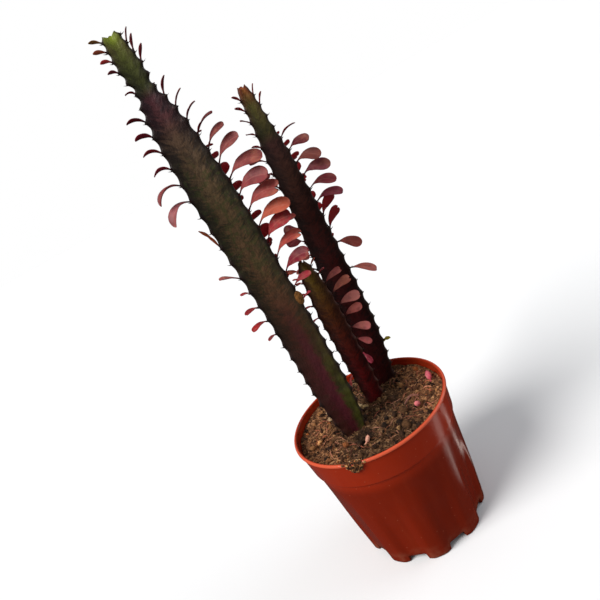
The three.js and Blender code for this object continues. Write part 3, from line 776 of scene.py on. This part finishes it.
def scatter_fibres(soil, chance, edge):
    for _ in range(FIBRE_COUNT):
        x, y = open_spot(chance, edge - 7)
        heading = chance.uniform(0, 2 * math.pi)
        length = chance.uniform(4, 13)
        bend = chance.uniform(-0.9, 0.9)
        path = []
        for share in np.linspace(0, 1, 7):
            angle = heading + bend * share
            x += math.cos(angle) * length / 6
            y += math.sin(angle) * length / 6
            if math.hypot(x, y) > edge - 1:
                break
            lift = 0.7 + 1.3 * math.sin(math.pi * share) * chance.uniform(0.2, 1)
            path.append([x, y, soil_top(x, y, 0.5) + lift])
        if len(path) > 3:
            colour = np.array(FIBRE_TINTS[chance.randint(len(FIBRE_TINTS))]) * chance.uniform(0.8, 1.1)
            add_strand(soil, path, chance.uniform(0.16, 0.42), linear(*colour), sides=4)


def spill_grains(soil, chance):
    """Crumbs of soil left on the lip and stuck to its outside, at the front left."""
    for count, least, most, low, high in SPILLS:
        for _ in range(count):
            height = high - (high - low) * chance.uniform() ** 1.5
            spread = 4.2 - 0.32 * (POT_HEIGHT - height)
            angle = math.radians(SPILL_ANGLE + np.clip(spread * chance.standard_normal(), -8, 8))
            radius = chance.uniform(least, most) - 0.6 * (height < LIP_BOTTOM)
            size = chance.uniform(0.45, 1.25)
            tint = np.array(pick_tint(chance)) * [1.7, 1.6, 1.5, 1]
            add_lump(soil, 1 if size < 0.8 else 2, [*polar(radius, angle), height], size, chance, tint)


def add_twig(soil):
    """The dark curved twig at the right of the soil."""
    path = []
    for share in np.linspace(0, 1, 12):
        x = TWIG["from"][0] + TWIG["length"] * share
        y = TWIG["from"][1] + TWIG["bend"] * math.sin(math.pi * share * 0.9)
        path.append([x, y, soil_height(x, y) + TWIG["lift"] + TWIG["hump"] * math.sin(math.pi * share)])
    add_strand(soil, path, TWIG["radius"], linear(*TWIG["tint"]), sides=8, taper=0.5)


def pale_sides_and_hollow_shade(look, base):
    """The soil is paler and warmer at its left and right, and painted shade darkens it in the tall stem's
    hollow.
    """
    pale = look.mix(1.0, base, (1.9, 1.7, 1.6, 1.0), "MULTIPLY")
    sided = look.mix(look.range(look.math("ABSOLUTE", look.across[0]), 0.026, 0.052), base, pale)
    # Painted shade: darker towards the hollow in front of the tall stem's foot.
    hollow = {0: look.place, 1: (-0.015, -0.026, 0.122)}
    away = look.node("ShaderNodeVectorMath", hollow, operation="DISTANCE").outputs["Value"]
    return look.mix(look.range(away, 0.013, 0.006, 0, 0.8), sided, (20, 15, 13))


def soil_look():
    look = Look("soil_mix", roughness=0.95, specular=0.15)
    mixed = look.plus(look.times(look.noise(420, 8, 0.7), 0.7), look.times(look.noise(60, 4, 0.6), 0.3))
    base = look.ramp(mixed, [(0.34, (22, 15, 12)), (0.43, (60, 41, 29)), (0.52, (98, 69, 47)),
                             (0.59, (140, 103, 70)), (0.68, (188, 148, 108))])
    tone = look.split(look.cells(520, "Color"))[0]
    base = look.mix(look.range(tone, 0.84, 0.97, 0, 0.45), base, (188, 148, 106))
    base = look.mix(look.range(tone, 0.25, 0.05, 0, 0.5), base, (30, 21, 16))
    rough = look.bump(look.noise(300, 8, 0.75), 0.9, 0.0022)
    return look.dress(pale_sides_and_hollow_shade(look, base), look.bump(look.cells(420), 0.6, 0.0014, rough))


def grain_look():
    look = Look("soil_grains", roughness=0.9, specular=0.2)
    shade = look.ramp(look.noise(700, 5, 0.7), [(0.3, (120, 118, 116)), (0.62, (255, 250, 240))])
    grain = look.mix(1.0, look.tint, shade, "MULTIPLY")
    return look.dress(pale_sides_and_hollow_shade(look, grain), look.bump(look.noise(900, 6, 0.7), 0.8, 0.0012))


# Stems

def stem_axis(stem, height):
    share = np.maximum(0, height) / BOW_HEIGHT
    x = stem["base"][0] + stem["bow"][0] * share + stem["bow"][1] * share * share
    return np.stack([x, np.full_like(x, stem["base"][1]), SOIL_LEVEL + height], -1)


def rib_angle(stem, rib):
    return math.radians(stem["turn"] + 360 / RIBS * rib)


def rib_nodes(stem, rib):
    """Heights of a rib's nodes; those of the second rib lie halfway between the others'."""
    nodes, height = [], FIRST_NODE
    while height < stem["height"] - TOP_CLEARANCE:
        nodes.append(float(height))
        height += table_value(stem["pitch"], height)
    return [(low + high) / 2 for low, high in zip(nodes, nodes[1:])] if rib == 1 else nodes


def blade_points(leaf, shares):
    """Points along the middle of a leaf, whose slope falls evenly by its arch."""
    shares = np.asarray(shares, float)
    steps = (np.arange(BLADE_STEPS) + 0.5) / BLADE_STEPS
    angles = leaf["rise"] - leaf["arch"] * shares[:, None] * steps
    stride = leaf["length"] * shares / BLADE_STEPS
    forward = stride * np.cos(angles).sum(1)
    rise = stride * np.sin(angles).sum(1)
    return leaf["root"] + forward[:, None] * outward(leaf["heading"]) + rise[:, None] * UP


def crest_point(stem, rib, height, sink):
    reach = table_value(stem["ribs"], height) + TOOTH - sink
    return stem_axis(stem, height) + outward(rib_angle(stem, rib)) * reach


def stem_reach(stem, height, angle):
    turns = (angle - rib_angle(stem, 0)) / (2 * math.pi / RIBS)
    off_rib = 2 * abs(turns - math.floor(turns + 0.5))
    share = WAIST_SHARE + (1 - WAIST_SHARE) * (1 - off_rib) ** 2
    return share * (table_value(stem["ribs"], height) + TOOTH)


def clears_stem(leaf, stem):
    for point in blade_points(leaf, BLADE_SAMPLES):
        height = point[2] - SOIL_LEVEL
        if height > stem["height"] + LEAF_CLEARANCE:
            continue
        x, y, _ = point - stem_axis(stem, height)
        if math.hypot(x, y) <= stem_reach(stem, height, math.atan2(y, x)) + leaf["width"] + LEAF_CLEARANCE:
            return False
    return True


def clears_leaf(leaf, other):
    points = blade_points(leaf, BLADE_SAMPLES)
    apart = np.linalg.norm(points[:, None] - other["points"][None], axis=-1)
    return (apart > leaf["width"] + other["width"]).all()


def bent_clear(leaf, stem, grown):
    """The leaf turned aside as little as it takes to clear the other stems and their leaves, or none."""
    for turn in TURN_STEPS:
        turned = dict(leaf, heading=leaf["heading"] + math.radians(turn))
        if all(clears_stem(turned, other) for other in STEMS.values() if other is not stem) and all(
                clears_leaf(turned, other) for other in grown if other["stem"] is not stem):
            return turned
    return None


def grow_leaves():
    """Every leaf of every stem, placed as in the part."""
    grown, by_stem = [], {}
    for name, stem in STEMS.items():
        random = seeded_random(stem["seed"])
        leaves = by_stem[name] = []
        for rib, plan in enumerate(stem["leaves"]):
            for height in rib_nodes(stem, rib):
                turn, roll, rise, size = random(), random(), random(), random()
                if height < plan[0][0]:
                    continue
                length = table_value(plan, height) * (1 + SPREAD["length"] * (size - 0.5))
                if length < SHORTEST_LEAF:
                    continue
                arch = math.radians(table_value(plan, height, 3))
                chord = math.radians(table_value(plan, height, 2) + SPREAD["rise"] * (rise - 0.5))
                leaf = bent_clear({
                    "root": crest_point(stem, rib, height, ROOT_SINK),
                    "heading": rib_angle(stem, rib)
                    + math.radians(stem["aside"][rib] + SPREAD["heading"] * (turn - 0.5)),
                    "rise": chord + arch / 2, "arch": arch, "length": length + ROOT_SINK,
                    "width": WIDTH_SHARE * length / 2,
                    "roll": math.radians(table_value(plan, height, 4) + SPREAD["roll"] * (roll - 0.5)),
                    "rib": rib, "height": height, "chance": size,
                }, stem, grown)
                if leaf is not None:
                    leaves.append(leaf)
                    grown.append({"stem": stem, "points": blade_points(leaf, BLADE_SAMPLES),
                                  "width": leaf["width"]})
    return by_stem


def leaf_surface(surface, leaf, tint, look, curl=0.16, narrow=1.0, crumple=0.0):
    """A spoon-shaped leaf with a stalk, a rounded end, a soft fold and thin edges."""
    chance = np.random.RandomState(int(leaf["chance"] * 1e6) + 17)
    shares = np.array(BLADE_ROWS)
    centres = blade_points(leaf, shares)
    angles = (leaf["rise"] - leaf["arch"] * shares)[:, None]
    forward = outward(leaf["heading"])
    tangent = np.cos(angles) * forward + np.sin(angles) * UP
    flat = -np.sin(angles) * forward + np.cos(angles) * UP
    roll = (leaf["roll"] * np.minimum(1, shares / ROLL_SHARE))[:, None]
    normal = flat * np.cos(roll) + np.cross(tangent, flat) * np.sin(roll)
    across = np.cross(normal, tangent)
    blunt = 0.0 if narrow < 1 else 1.25 * max(0, chance.uniform() - 0.4) ** 1.2
    outline = (1 - blunt) * table_value(BLADE_OUTLINE, shares) + blunt * table_value(BLADE_OUTLINE, shares, 2)
    if narrow < 1:
        outline = outline * (1 - 0.5 * shares ** 3)
    half = np.maximum(STALK_HALF * (shares < 0.9), leaf["width"] * outline * narrow)
    notch = chance.uniform(0, 0.04) + 0.09 * blunt
    jag = chance.uniform(0.01, 0.05, 2) * blunt
    sides = BLADE_COLUMNS + BLADE_COLUMNS[-2:0:-1]
    phase, lean = chance.uniform(0, 6.28), chance.uniform(-0.08, 0.08)
    points, marks = [], []
    for row, share in enumerate(shares):
        for column, side in enumerate(sides):
            top = column < len(BLADE_COLUMNS)
            fold = (curl * abs(side) ** 1.6 + lean * side) * half[row]
            thick = BLADE_THICKNESS * (1 - 0.35 * share) * (1 - abs(side) ** 2.4) ** 0.5
            wave = 0.22 * math.sin(9 * share + phase + 2.2 * side) * abs(side) * min(1, half[row] / 3)
            pucker = crumple * math.sin(13 * share + 3 * side + phase) * half[row] * 0.3
            lift = fold + wave + pucker - (0 if top else thick)
            torn = jag[0] * math.sin(7 * side + phase) + jag[1] * side
            pull = leaf["length"] * share ** 6 * (notch * (1 - abs(side)) ** 2 + torn)
            points.append(centres[row] + across[row] * side * half[row] + normal[row] * lift
                          - tangent[row] * pull)
            marks.append([share, side, top if abs(side) < 1 else 0.5])
    columns = len(sides)
    points += [centres[0], points[-columns + len(BLADE_COLUMNS) // 2]]
    marks += [[0, 0, 1], [1, 0, 1]]
    surface.add(points, closed_faces(len(shares), columns), look, marks, tint)


def leaf_tint(stem, leaf):
    """A leaf's colour, and as its fourth value how red its underside is."""
    table = stem["tints"][leaf["rib"]]
    colour = np.array([table_value(table, leaf["height"], column) for column in (1, 2, 3)])
    turns = [(0.76, 0.42, 0.62), (0.9, 0.98, 1.12), (0.98, 1.06, 0.9), (0.88, 0.86, 0.86), (0.84, 0.72, 0.8)]
    kind = turns[int(leaf["chance"] * 7919) % len(turns)]
    strength = 0.9 if leaf["length"] > 14 and stem is not SHORT else 0.4
    colour = colour * (1.02 if stem is SHORT else 0.9) * (1 + strength * (np.array(kind) - 1))
    is_dull = stem is TALL and leaf["rib"] != 1 and leaf["height"] > 190
    return *linear(*np.clip(colour, 0, 255))[:3], 0.15 if is_dull else 1.0


def leaf_form(stem, leaf):
    """Fold, width and crumpling of the tall stem's dried, pointed and slender leaves."""
    rib, height = leaf["rib"], leaf["height"]
    if stem is TALL and rib == 2 and 190 < height < 212:
        return 0.5, 0.45, 0.8
    if stem is TALL and rib == 2 and height > 236:
        return 0.3, 0.97
    if stem is TALL and rib == 0 and height > 290:
        return 0.3, 0.7
    return ()


def rib_teeth(stem, rib, heights):
    """How far the crest stands out at each height, from 1 at a node to 0 halfway to the next."""
    nodes = np.array(rib_nodes(stem, rib))
    pitch = table_value(stem["pitch"], heights)
    nearest = np.abs(heights[:, None] - nodes[None]).min(1)
    return np.clip(1 - nearest / (pitch / 2), 0, 1)


def section_weights(samples=6):
    """Weights of a smooth closed curve over the section's control points."""
    weights = np.zeros((CORNERS * samples, CORNERS))
    for row in range(CORNERS * samples):
        corner, share = row // samples, row % samples / samples
        weights[row, (corner - 1) % CORNERS] += 0.5 * (1 - share) ** 2
        weights[row, corner] += 0.5 + share * (1 - share)
        weights[row, (corner + 1) % CORNERS] += 0.5 * share ** 2
    return weights


def stem_body(surface, stem):
    top = stem["height"]
    heights = np.unique([-BURIED, -25, -12, -5, *np.arange(0, top, ROW_SPACING), top - 0.6, top])
    radius = table_value(stem["ribs"], heights)
    radius = radius * (1 - (1 - TIP_BLUNT) * smooth_step(top - 4, top, heights))
    above = smooth_step(0, 3, heights)
    control = np.zeros((len(heights), CORNERS, 2))
    ribness, teeth = np.zeros((2, len(heights), CORNERS))
    chance = np.random.RandomState(stem["seed"])
    for rib in range(RIBS):
        angle = rib_angle(stem, rib)
        out, aside = outward(angle)[:2], outward(angle + math.pi / 2)[:2]
        tooth = rib_teeth(stem, rib, heights)
        bulge = (-TOOTH / 3 + TOOTH * 4 / 3 * tooth ** 1.7) * above
        if stem is TALL:
            # Stronger teeth round the waist
            bulge = bulge * (1 + smooth_step(285, 305, heights) * smooth_step(350, 340, heights))
        starts = chance.uniform(0, 6.28, 3)
        sway = (0.35 * np.sin(heights / 17 + starts[0]) + 0.3 * np.sin(heights / 7.3 + starts[1])) * above
        crest_half = CREST_BASE + CREST_SHARE * radius
        first = RIB_CORNERS * rib
        for corner in range(4):
            is_crest = corner in (1, 2)
            along = radius + bulge if is_crest else FLANK_SHARE * radius + 0.25 * tooth
            half = crest_half + 0.2 * tooth if is_crest else crest_half + FLANK_FLARE + 0.15 * tooth
            side = half * (-1 if corner < 2 else 1) + sway * (1 if is_crest else 0.5)
            control[:, first + corner] = along[:, None] * out + side[:, None] * aside
            ribness[:, first + corner] = 1 if is_crest else 0.66
            teeth[:, first + corner] = tooth
        depth = WAIST_SHARE * radius + 0.25 * np.sin(heights / 9 + starts[2]) * above
        control[:, first + 4] = depth[:, None] * outward(angle + math.pi / RIBS)[:2]
        teeth[:, first + 4] = (tooth + rib_teeth(stem, (rib + 1) % RIBS, heights)) / 2
    weights = section_weights()
    ring = np.einsum("sc,hcx->hsx", weights, control)
    rib_share, tooth_share = ribness @ weights.T, teeth @ weights.T
    axis = stem_axis(stem, heights)
    near_top = smooth_step(top - 10, top, heights)[:, None]
    points = np.dstack([ring + axis[:, None, :2], axis[:, 2:] - TIP_DIP * near_top * (1 - rib_share) ** 0.8])
    marks = np.dstack([np.broadcast_to(heights[:, None], rib_share.shape), rib_share, tooth_share])
    centre = axis[-1] - TIP_DIP * UP
    # The top sinks to its middle in rings
    caps = [between(points[-1], centre, np.array([share, share, share ** 0.7])) for share in TIP_RINGS]
    cap_marks = [marks[-1] * [1, 1 - share, 1 - share] for share in TIP_RINGS]
    columns = ring.shape[1]
    surface.add(np.concatenate([*points, *caps, [axis[0], centre]]),
                closed_faces(len(heights) + len(TIP_RINGS), columns), 0,
                np.concatenate([*marks, *cap_marks, [[-BURIED, 0, 0], [top, 0, 0]]]))


def add_spine(surface, root, heading, length):
    """A short curved thorn that tapers to a point."""
    shares = np.array([0, 0.35, 0.7, 1.0])
    rise = (SPINE_RISE + 0.25 * shares)[:, None]
    path = root + (length * shares)[:, None] * (np.cos(rise) * outward(heading) + np.sin(rise) * UP)
    radii = SPINE_RADIUS * np.array([1, 0.7, 0.38, 0.06])
    turn = circle(6)[:, None]
    ring = np.cos(turn) * outward(heading + math.pi / 2) + np.sin(turn) * UP
    points = path[:, None] + radii[:, None, None] * ring[None]
    marks = [[share, 0, 0] for share in [*np.repeat(shares, 6), 0, 1]]
    surface.add(np.concatenate([*points, path[:1], path[-1:]]), closed_faces(4, 6), 2, marks)


def add_spines(surface, stem):
    """A pair of thorns at every node; the pairs that the part carries are the longest."""
    for rib in range(RIBS):
        angle = rib_angle(stem, rib)
        for place, height in enumerate(rib_nodes(stem, rib)):
            for hand in (-1, 1):
                root = crest_point(stem, rib, height, TOOTH / 2)
                root = root + outward(angle + math.pi / 2) * hand * 0.5 - 0.8 * UP
                add_spine(surface, root, angle + hand * SPINE_SPLAY,
                          SPINE_LENGTH if place % RIBS == rib else SHORT_SPINE)


def extra_leaves(name, stem):
    """Each small leaf low on a stem, with its colour."""
    for place, plan in enumerate(EXTRA_LEAVES.get(name, [])):
        arch = math.radians(plan["arch"])
        yield {
            "root": crest_point(stem, plan["rib"], plan["height"], ROOT_SINK),
            "heading": rib_angle(stem, plan["rib"]) + math.radians(plan["turn"]),
            "rise": math.radians(plan["rise"]) + arch / 2, "arch": arch, "length": plan["length"],
            "width": EXTRA_WIDTH_SHARE * plan["length"] / 2, "roll": EXTRA_ROLL, "chance": 0.2 + 0.15 * place,
        }, linear(*plan["tint"])


def make_stem(name, leaves, looks):
    stem = STEMS[name]
    surface = Surface()
    stem_body(surface, stem)
    for leaf in leaves:
        leaf_surface(surface, leaf, leaf_tint(stem, leaf), 1, *leaf_form(stem, leaf))
    for leaf, tint in extra_leaves(name, stem):
        leaf_surface(surface, leaf, tint, 3, 0.7, 0.8, 0.9)
    add_spines(surface, stem)
    if stem is TALL:
        add_bud(surface, stem)
    surface.build(name + "_plant", looks, name)


def add_bud(surface, stem):
    """The dried side bud on the right rib."""
    points, faces = unit_ball(4)
    turn, height, radius = np.arctan2(points[:, 1], points[:, 0]), points[:, 2], BUD["radius"]
    wrinkle = 1 + BUD["wrinkle"] * np.sin(7 * turn + 4 * height) * (1 - height ** 2)
    shaped = points * wrinkle[:, None] * radius * 0.94 * np.array([1, 1, BUD["stretch"]])
    root = crest_point(stem, 0, BUD["height"], radius / 2)
    surface.add(root + shaped, [faces], 4, tint=linear(*BUD["tint"]))


def stem_look(name, middle, edge, crest, details=None):
    """Skin of one stem: a ramp up the middle of its faces, a darker one beside its ribs, and cross marks."""
    look = Look(name, specular=0.3)
    height, ribness, tooth = look.marks
    share = look.math("DIVIDE", height, RAMP_HEIGHT)
    face, dark = (look.ramp(share, [(stop / RAMP_HEIGHT, colour) for stop, colour in ramp])
                  for ramp in (middle, edge))
    # Cross marks rise towards the middle of each face
    slanted = look.plus(height, look.times(ribness, -9.0))
    flow = look.node("ShaderNodeCombineXYZ", {
        0: look.times(look.across[0], 70.0), 1: look.times(look.across[1], 70.0), 2: look.times(slanted, 0.2),
    }).outputs[0]
    streak = look.noise(1.6, 6, 0.7, 0.8, vector=flow)
    fleck = look.noise(330, 4, 0.6)
    lean = look.plus(look.times(ribness, 0.42), look.times(fleck, 0.22))
    skin = look.mix(look.range(look.plus(streak, lean), 0.6, 0.98), face, dark)
    blotch = look.range(look.noise(230, 6, 0.7, 0.5, stretch=(1, 1, 0.7)), 0.46, 0.6, 0, 0.55)
    skin = look.mix(blotch, skin, look.mix(0.75, skin, dark))
    if details:
        skin = details(look, skin)
    horn = look.times(look.range(ribness, 0.82, 0.96), look.range(tooth, 0.35, 0.9, 0.55, 1.0))
    skin = look.mix(horn, skin, crest)
    coarse = look.bump(look.noise(1, 5, 0.65, stretch=(150, 150, 80)), 0.8, 0.002)
    normal = look.bump(look.noise(700, 4), 0.25, 0.0006, coarse)
    return look.dress(skin, normal, look.range(fleck, 0.3, 0.7, 0.46, 0.62))


def tall_details(look, skin):
    """The tall stem's olive patches, and the green strip and purple stripe low on its right rib."""
    height, ribness, _ = look.marks
    patch = look.range(look.noise(170, 5, 0.7), 0.5, 0.58, 0, 0.5)
    reach = look.times(look.range(height, 130.0, 200.0), look.range(height, 285.0, 255.0))
    skin = look.mix(look.times(patch, reach), skin, (58, 68, 28))
    ragged = look.times(look.math("SUBTRACT", look.noise(170, 5, 0.7), 0.5), 0.014)
    right = look.range(look.plus(look.across[0], ragged), -0.0165, -0.0115)
    low = look.range(height, 150.0, 40.0, 0.0, 0.9)
    near = look.range(ribness, 0.0, 0.3, 0.4, 1.0)
    mottle = look.range(look.noise(160, 4, stretch=(1, 1, 0.5)), 0.35, 0.65)
    green = look.mix(mottle, (40, 44, 12), (62, 66, 18))
    purple = look.times(look.range(ribness, 0.4, 0.1, 0, 0.55), look.range(height, 150.0, 90.0))
    return look.mix(look.times(right, low, near), look.mix(purple, skin, (86, 26, 42)), green)


def leaf_look():
    look = Look("leaf_blade", roughness=0.5, specular=0.2)
    along, side, top = look.marks
    mottle = look.noise(260, 4, 0.6)
    pale = look.mix(look.range(mottle, 0.4, 0.75, 0, 0.26), look.tint, (206, 142, 124))
    dusky = look.mix(look.range(look.noise(130, 3), 0.42, 0.68, 0, 0.5), pale, (88, 20, 32))
    ochre = look.times(look.range(look.noise(75, 2), 0.5, 0.7, 0, 0.3), look.range(along, 0.3, 0.8))
    dusky = look.mix(ochre, dusky, (212, 132, 100))
    # A fine pale midrib, a darker edge, a dark stalk and a deep red underside
    side = look.math("ABSOLUTE", side)
    ribbed = look.mix(look.range(side, 0.12, 0.02, 0, 0.14), dusky, (206, 132, 120))
    edged = look.mix(look.range(side, 0.86, 1.0, 0, 0.3), ribbed, (120, 24, 36))
    under = look.mix(look.times(look.attribute("tint", "Alpha"), 0.6), look.tint, (150, 3, 14))
    blade = look.mix(look.range(top, 0.25, 0.5), under, edged)
    look.set("Subsurface Weight", 0.08)
    look.set("Subsurface Scale", 0.002)
    look.set("Subsurface Radius", (1.0, 0.25, 0.15))
    return look.dress(look.mix(look.range(along, 0.27, 0.1, 0, 0.9), blade, (44, 12, 18)),
                      look.bump(mottle, 0.35, 0.0008))


def spine_look():
    look = Look("spine_horn", roughness=0.45, specular=0.4)
    horn = look.ramp(look.marks[0], [(0.0, (66, 40, 30)), (0.5, (48, 26, 20)), (1.0, (26, 15, 13))])
    return look.dress(look.mix(look.range(look.noise(900, 3), 0.45, 0.7, 0, 0.4), horn, (110, 74, 52)))


# Loose pieces

def make_fallen_leaf(name, looks, chance):
    plan = FALLEN_LEAVES[name]
    x, y = plan["at"]
    leaf = {
        "root": np.array([x, y, soil_height(x, y) + FALLEN_LIFT]),
        "heading": math.radians(plan["heading"]), "rise": math.radians(plan["rise"] + plan["arch"] / 2),
        "arch": math.radians(plan["arch"]), "length": plan["length"], "roll": math.radians(plan["roll"]),
        "width": FALLEN_WIDTH_SHARE * plan["length"] / 2, "chance": chance,
    }
    surface = Surface()
    tint = linear(*plan["tint"])
    leaf_surface(surface, leaf, tint, 0, 0.6, 0.95, 0.9)
    # The blade has rolled up into a thick bean
    rolled = blade_points(leaf, np.linspace(0.25, 0.95, 9)) + 0.2 * UP
    add_strand(surface, rolled, BEAN_WIDTH * leaf["width"], tint, 0, sides=12, taper=0.3)
    surface.build(name + "_curled", looks, name)


def make_pebble(looks):
    ways, faces = unit_ball(5)
    x, y = PEBBLE["at"]
    bump = 1 + PEBBLE["lumps"] * np.sin(3 * ways[:, 0] + 5) * np.cos(4 * ways[:, 1] + 2 * ways[:, 2])
    fine = np.array([noise.fractal(Vector(way) * 2.6, 0.9, 2.0, 4) for way in ways])
    reach = PEBBLE["radius"] * (bump - 0.02 + 0.05 * fine)
    points = ways * reach[:, None] * np.array([1, 1, PEBBLE["flattened"]])
    surface = Surface()
    surface.add(points + [x, y, soil_height(x, y) + PEBBLE["lift"]], [faces], tint=linear(*PEBBLE["tint"]))
    surface.build("pebble_lump", looks, "pebble")


def dry_leaf_look():
    look = Look("dry_leaf", roughness=0.7, specular=0.25)
    mottle = look.noise(420, 5, 0.65)
    base = look.mix(look.range(mottle, 0.42, 0.7, 0, 0.6), look.tint, (168, 62, 72))
    base = look.mix(look.range(look.noise(240, 3), 0.55, 0.75, 0, 0.6), base, (236, 190, 176))
    return look.dress(base, look.bump(mottle, 0.7, 0.0012))


def pebble_look():
    look = Look("pebble", roughness=0.9, specular=0.2)
    # Partly painted light: the ramp runs paler than the pebble's own colour, so that it looks lit in the
    # stems' shadow.
    base = look.ramp(look.noise(260, 6, 0.65), [(0.3, (112, 88, 62)), (0.46, (182, 152, 110)),
                                                (0.6, (220, 196, 152)), (0.72, (236, 218, 184))])
    return look.dress(base, look.bump(look.noise(520, 8, 0.7), 0.8, 0.0015))


# Scene

def make_camera():
    data = bpy.data.cameras.new("camera")
    data.lens, data.sensor_width = 36, 36
    data.clip_start, data.clip_end = 0.01, 50
    camera = add_object("camera", data)
    right, up, forward = (Vector(way).normalized() for way in (CAMERA_RIGHT, CAMERA_UP, CAMERA_FORWARD))
    turn = Matrix((right, up, -forward)).transposed().to_4x4()
    camera.matrix_world = Matrix.Translation(Vector(CAMERA_PLACE) * MM) @ turn
    bpy.context.scene.camera = camera


def make_floor():
    look = Look("pale_floor", roughness=0.9, specular=0.1)
    base = look.mix(look.noise(3, 3), (242, 244, 247), (244, 246, 249))
    rays = look.node("ShaderNodeLightPath").outputs
    bounced = look.mix(rays["Is Glossy Ray"], (140, 140, 140), (60, 60, 60))
    # Two bright strips that only reflections show, like windows mirrored in the pot's wall
    x, y, _ = look.across
    wide = look.times(look.range(y, -0.062, -0.054), look.range(y, -0.036, -0.044))
    thin = look.times(look.range(y, 0.012, 0.016), look.range(y, 0.026, 0.022))
    strips = look.times(look.plus(wide, thin), look.range(x, 0.08, 0.12))
    look.set("Emission Strength", look.times(strips, look.times(rays["Is Glossy Ray"], 2.3)))
    look.set("Emission Color", (1, 0.86, 0.78, 1))
    corners = [(x * FLOOR_HALF, y * FLOOR_HALF, -FLOOR_DROP) for x, y in ((-1, -1), (1, -1), (1, 1), (-1, 1))]
    mesh = bpy.data.meshes.new("floor")
    mesh.from_pydata(corners, [], [(0, 1, 2, 3)])
    mesh.materials.append(look.dress(look.mix(rays["Is Camera Ray"], bounced, base)))
    add_object("floor", mesh)


def make_light(name, energy, place, degrees, colour):
    data = bpy.data.lights.new(name, "SUN")
    data.energy, data.angle, data.color = energy, math.radians(degrees), colour
    lamp = add_object(name, data)
    lamp.location = Vector(place)
    lamp.rotation_mode = "QUATERNION"
    lamp.rotation_quaternion = (Vector(TARGET) - Vector(place)).to_track_quat("-Z", "Y")


def make_world():
    """White to the camera, and darker to other rays, most of all to reflections."""
    world = bpy.data.worlds.new("studio")
    world.use_nodes = True
    nodes = Nodes(world.node_tree)
    background = nodes.tree.nodes["Background"]
    rays = nodes.node("ShaderNodeLightPath").outputs
    gloss = nodes.node("ShaderNodeMapRange", {0: rays["Is Glossy Ray"], 3: 0.36, 4: 0.12}).outputs[0]
    tone = nodes.node("ShaderNodeMapRange", {0: rays["Is Camera Ray"], 3: gloss, 4: 1.0}).outputs[0]
    nodes.put(background.inputs["Strength"], tone)
    nodes.put(background.inputs["Color"], (1, 1, 1, 1))
    bpy.context.scene.world = world


make_camera()
make_floor()
make_world()
make_light("key", 3.1, (-0.8, -0.4, 1.0), 32, (1, 0.97, 0.93))
make_light("side", 1.1, (0.75, 0.05, 0.35), 50, (0.93, 0.96, 1))
bpy.context.scene.view_settings.view_transform = "Standard"

blade, horn = leaf_look(), spine_look()
curled, crumbs = dry_leaf_look(), grain_look()
make_pot([pot_look()])
make_soil([soil_look(), crumbs])
for name, leaves in grow_leaves().items():
    skin = stem_look(name.replace("stem_", "") + "_skin", **SKINS[name],
                     details=tall_details if name == "stem_tall" else None)
    make_stem(name, leaves, [skin, blade, horn, curled, crumbs])
for place, name in enumerate(FALLEN_LEAVES):
    make_fallen_leaf(name, [curled], 0.1 + 0.3 * place)
make_pebble([pebble_look()])

bpy.context.view_layer.update()
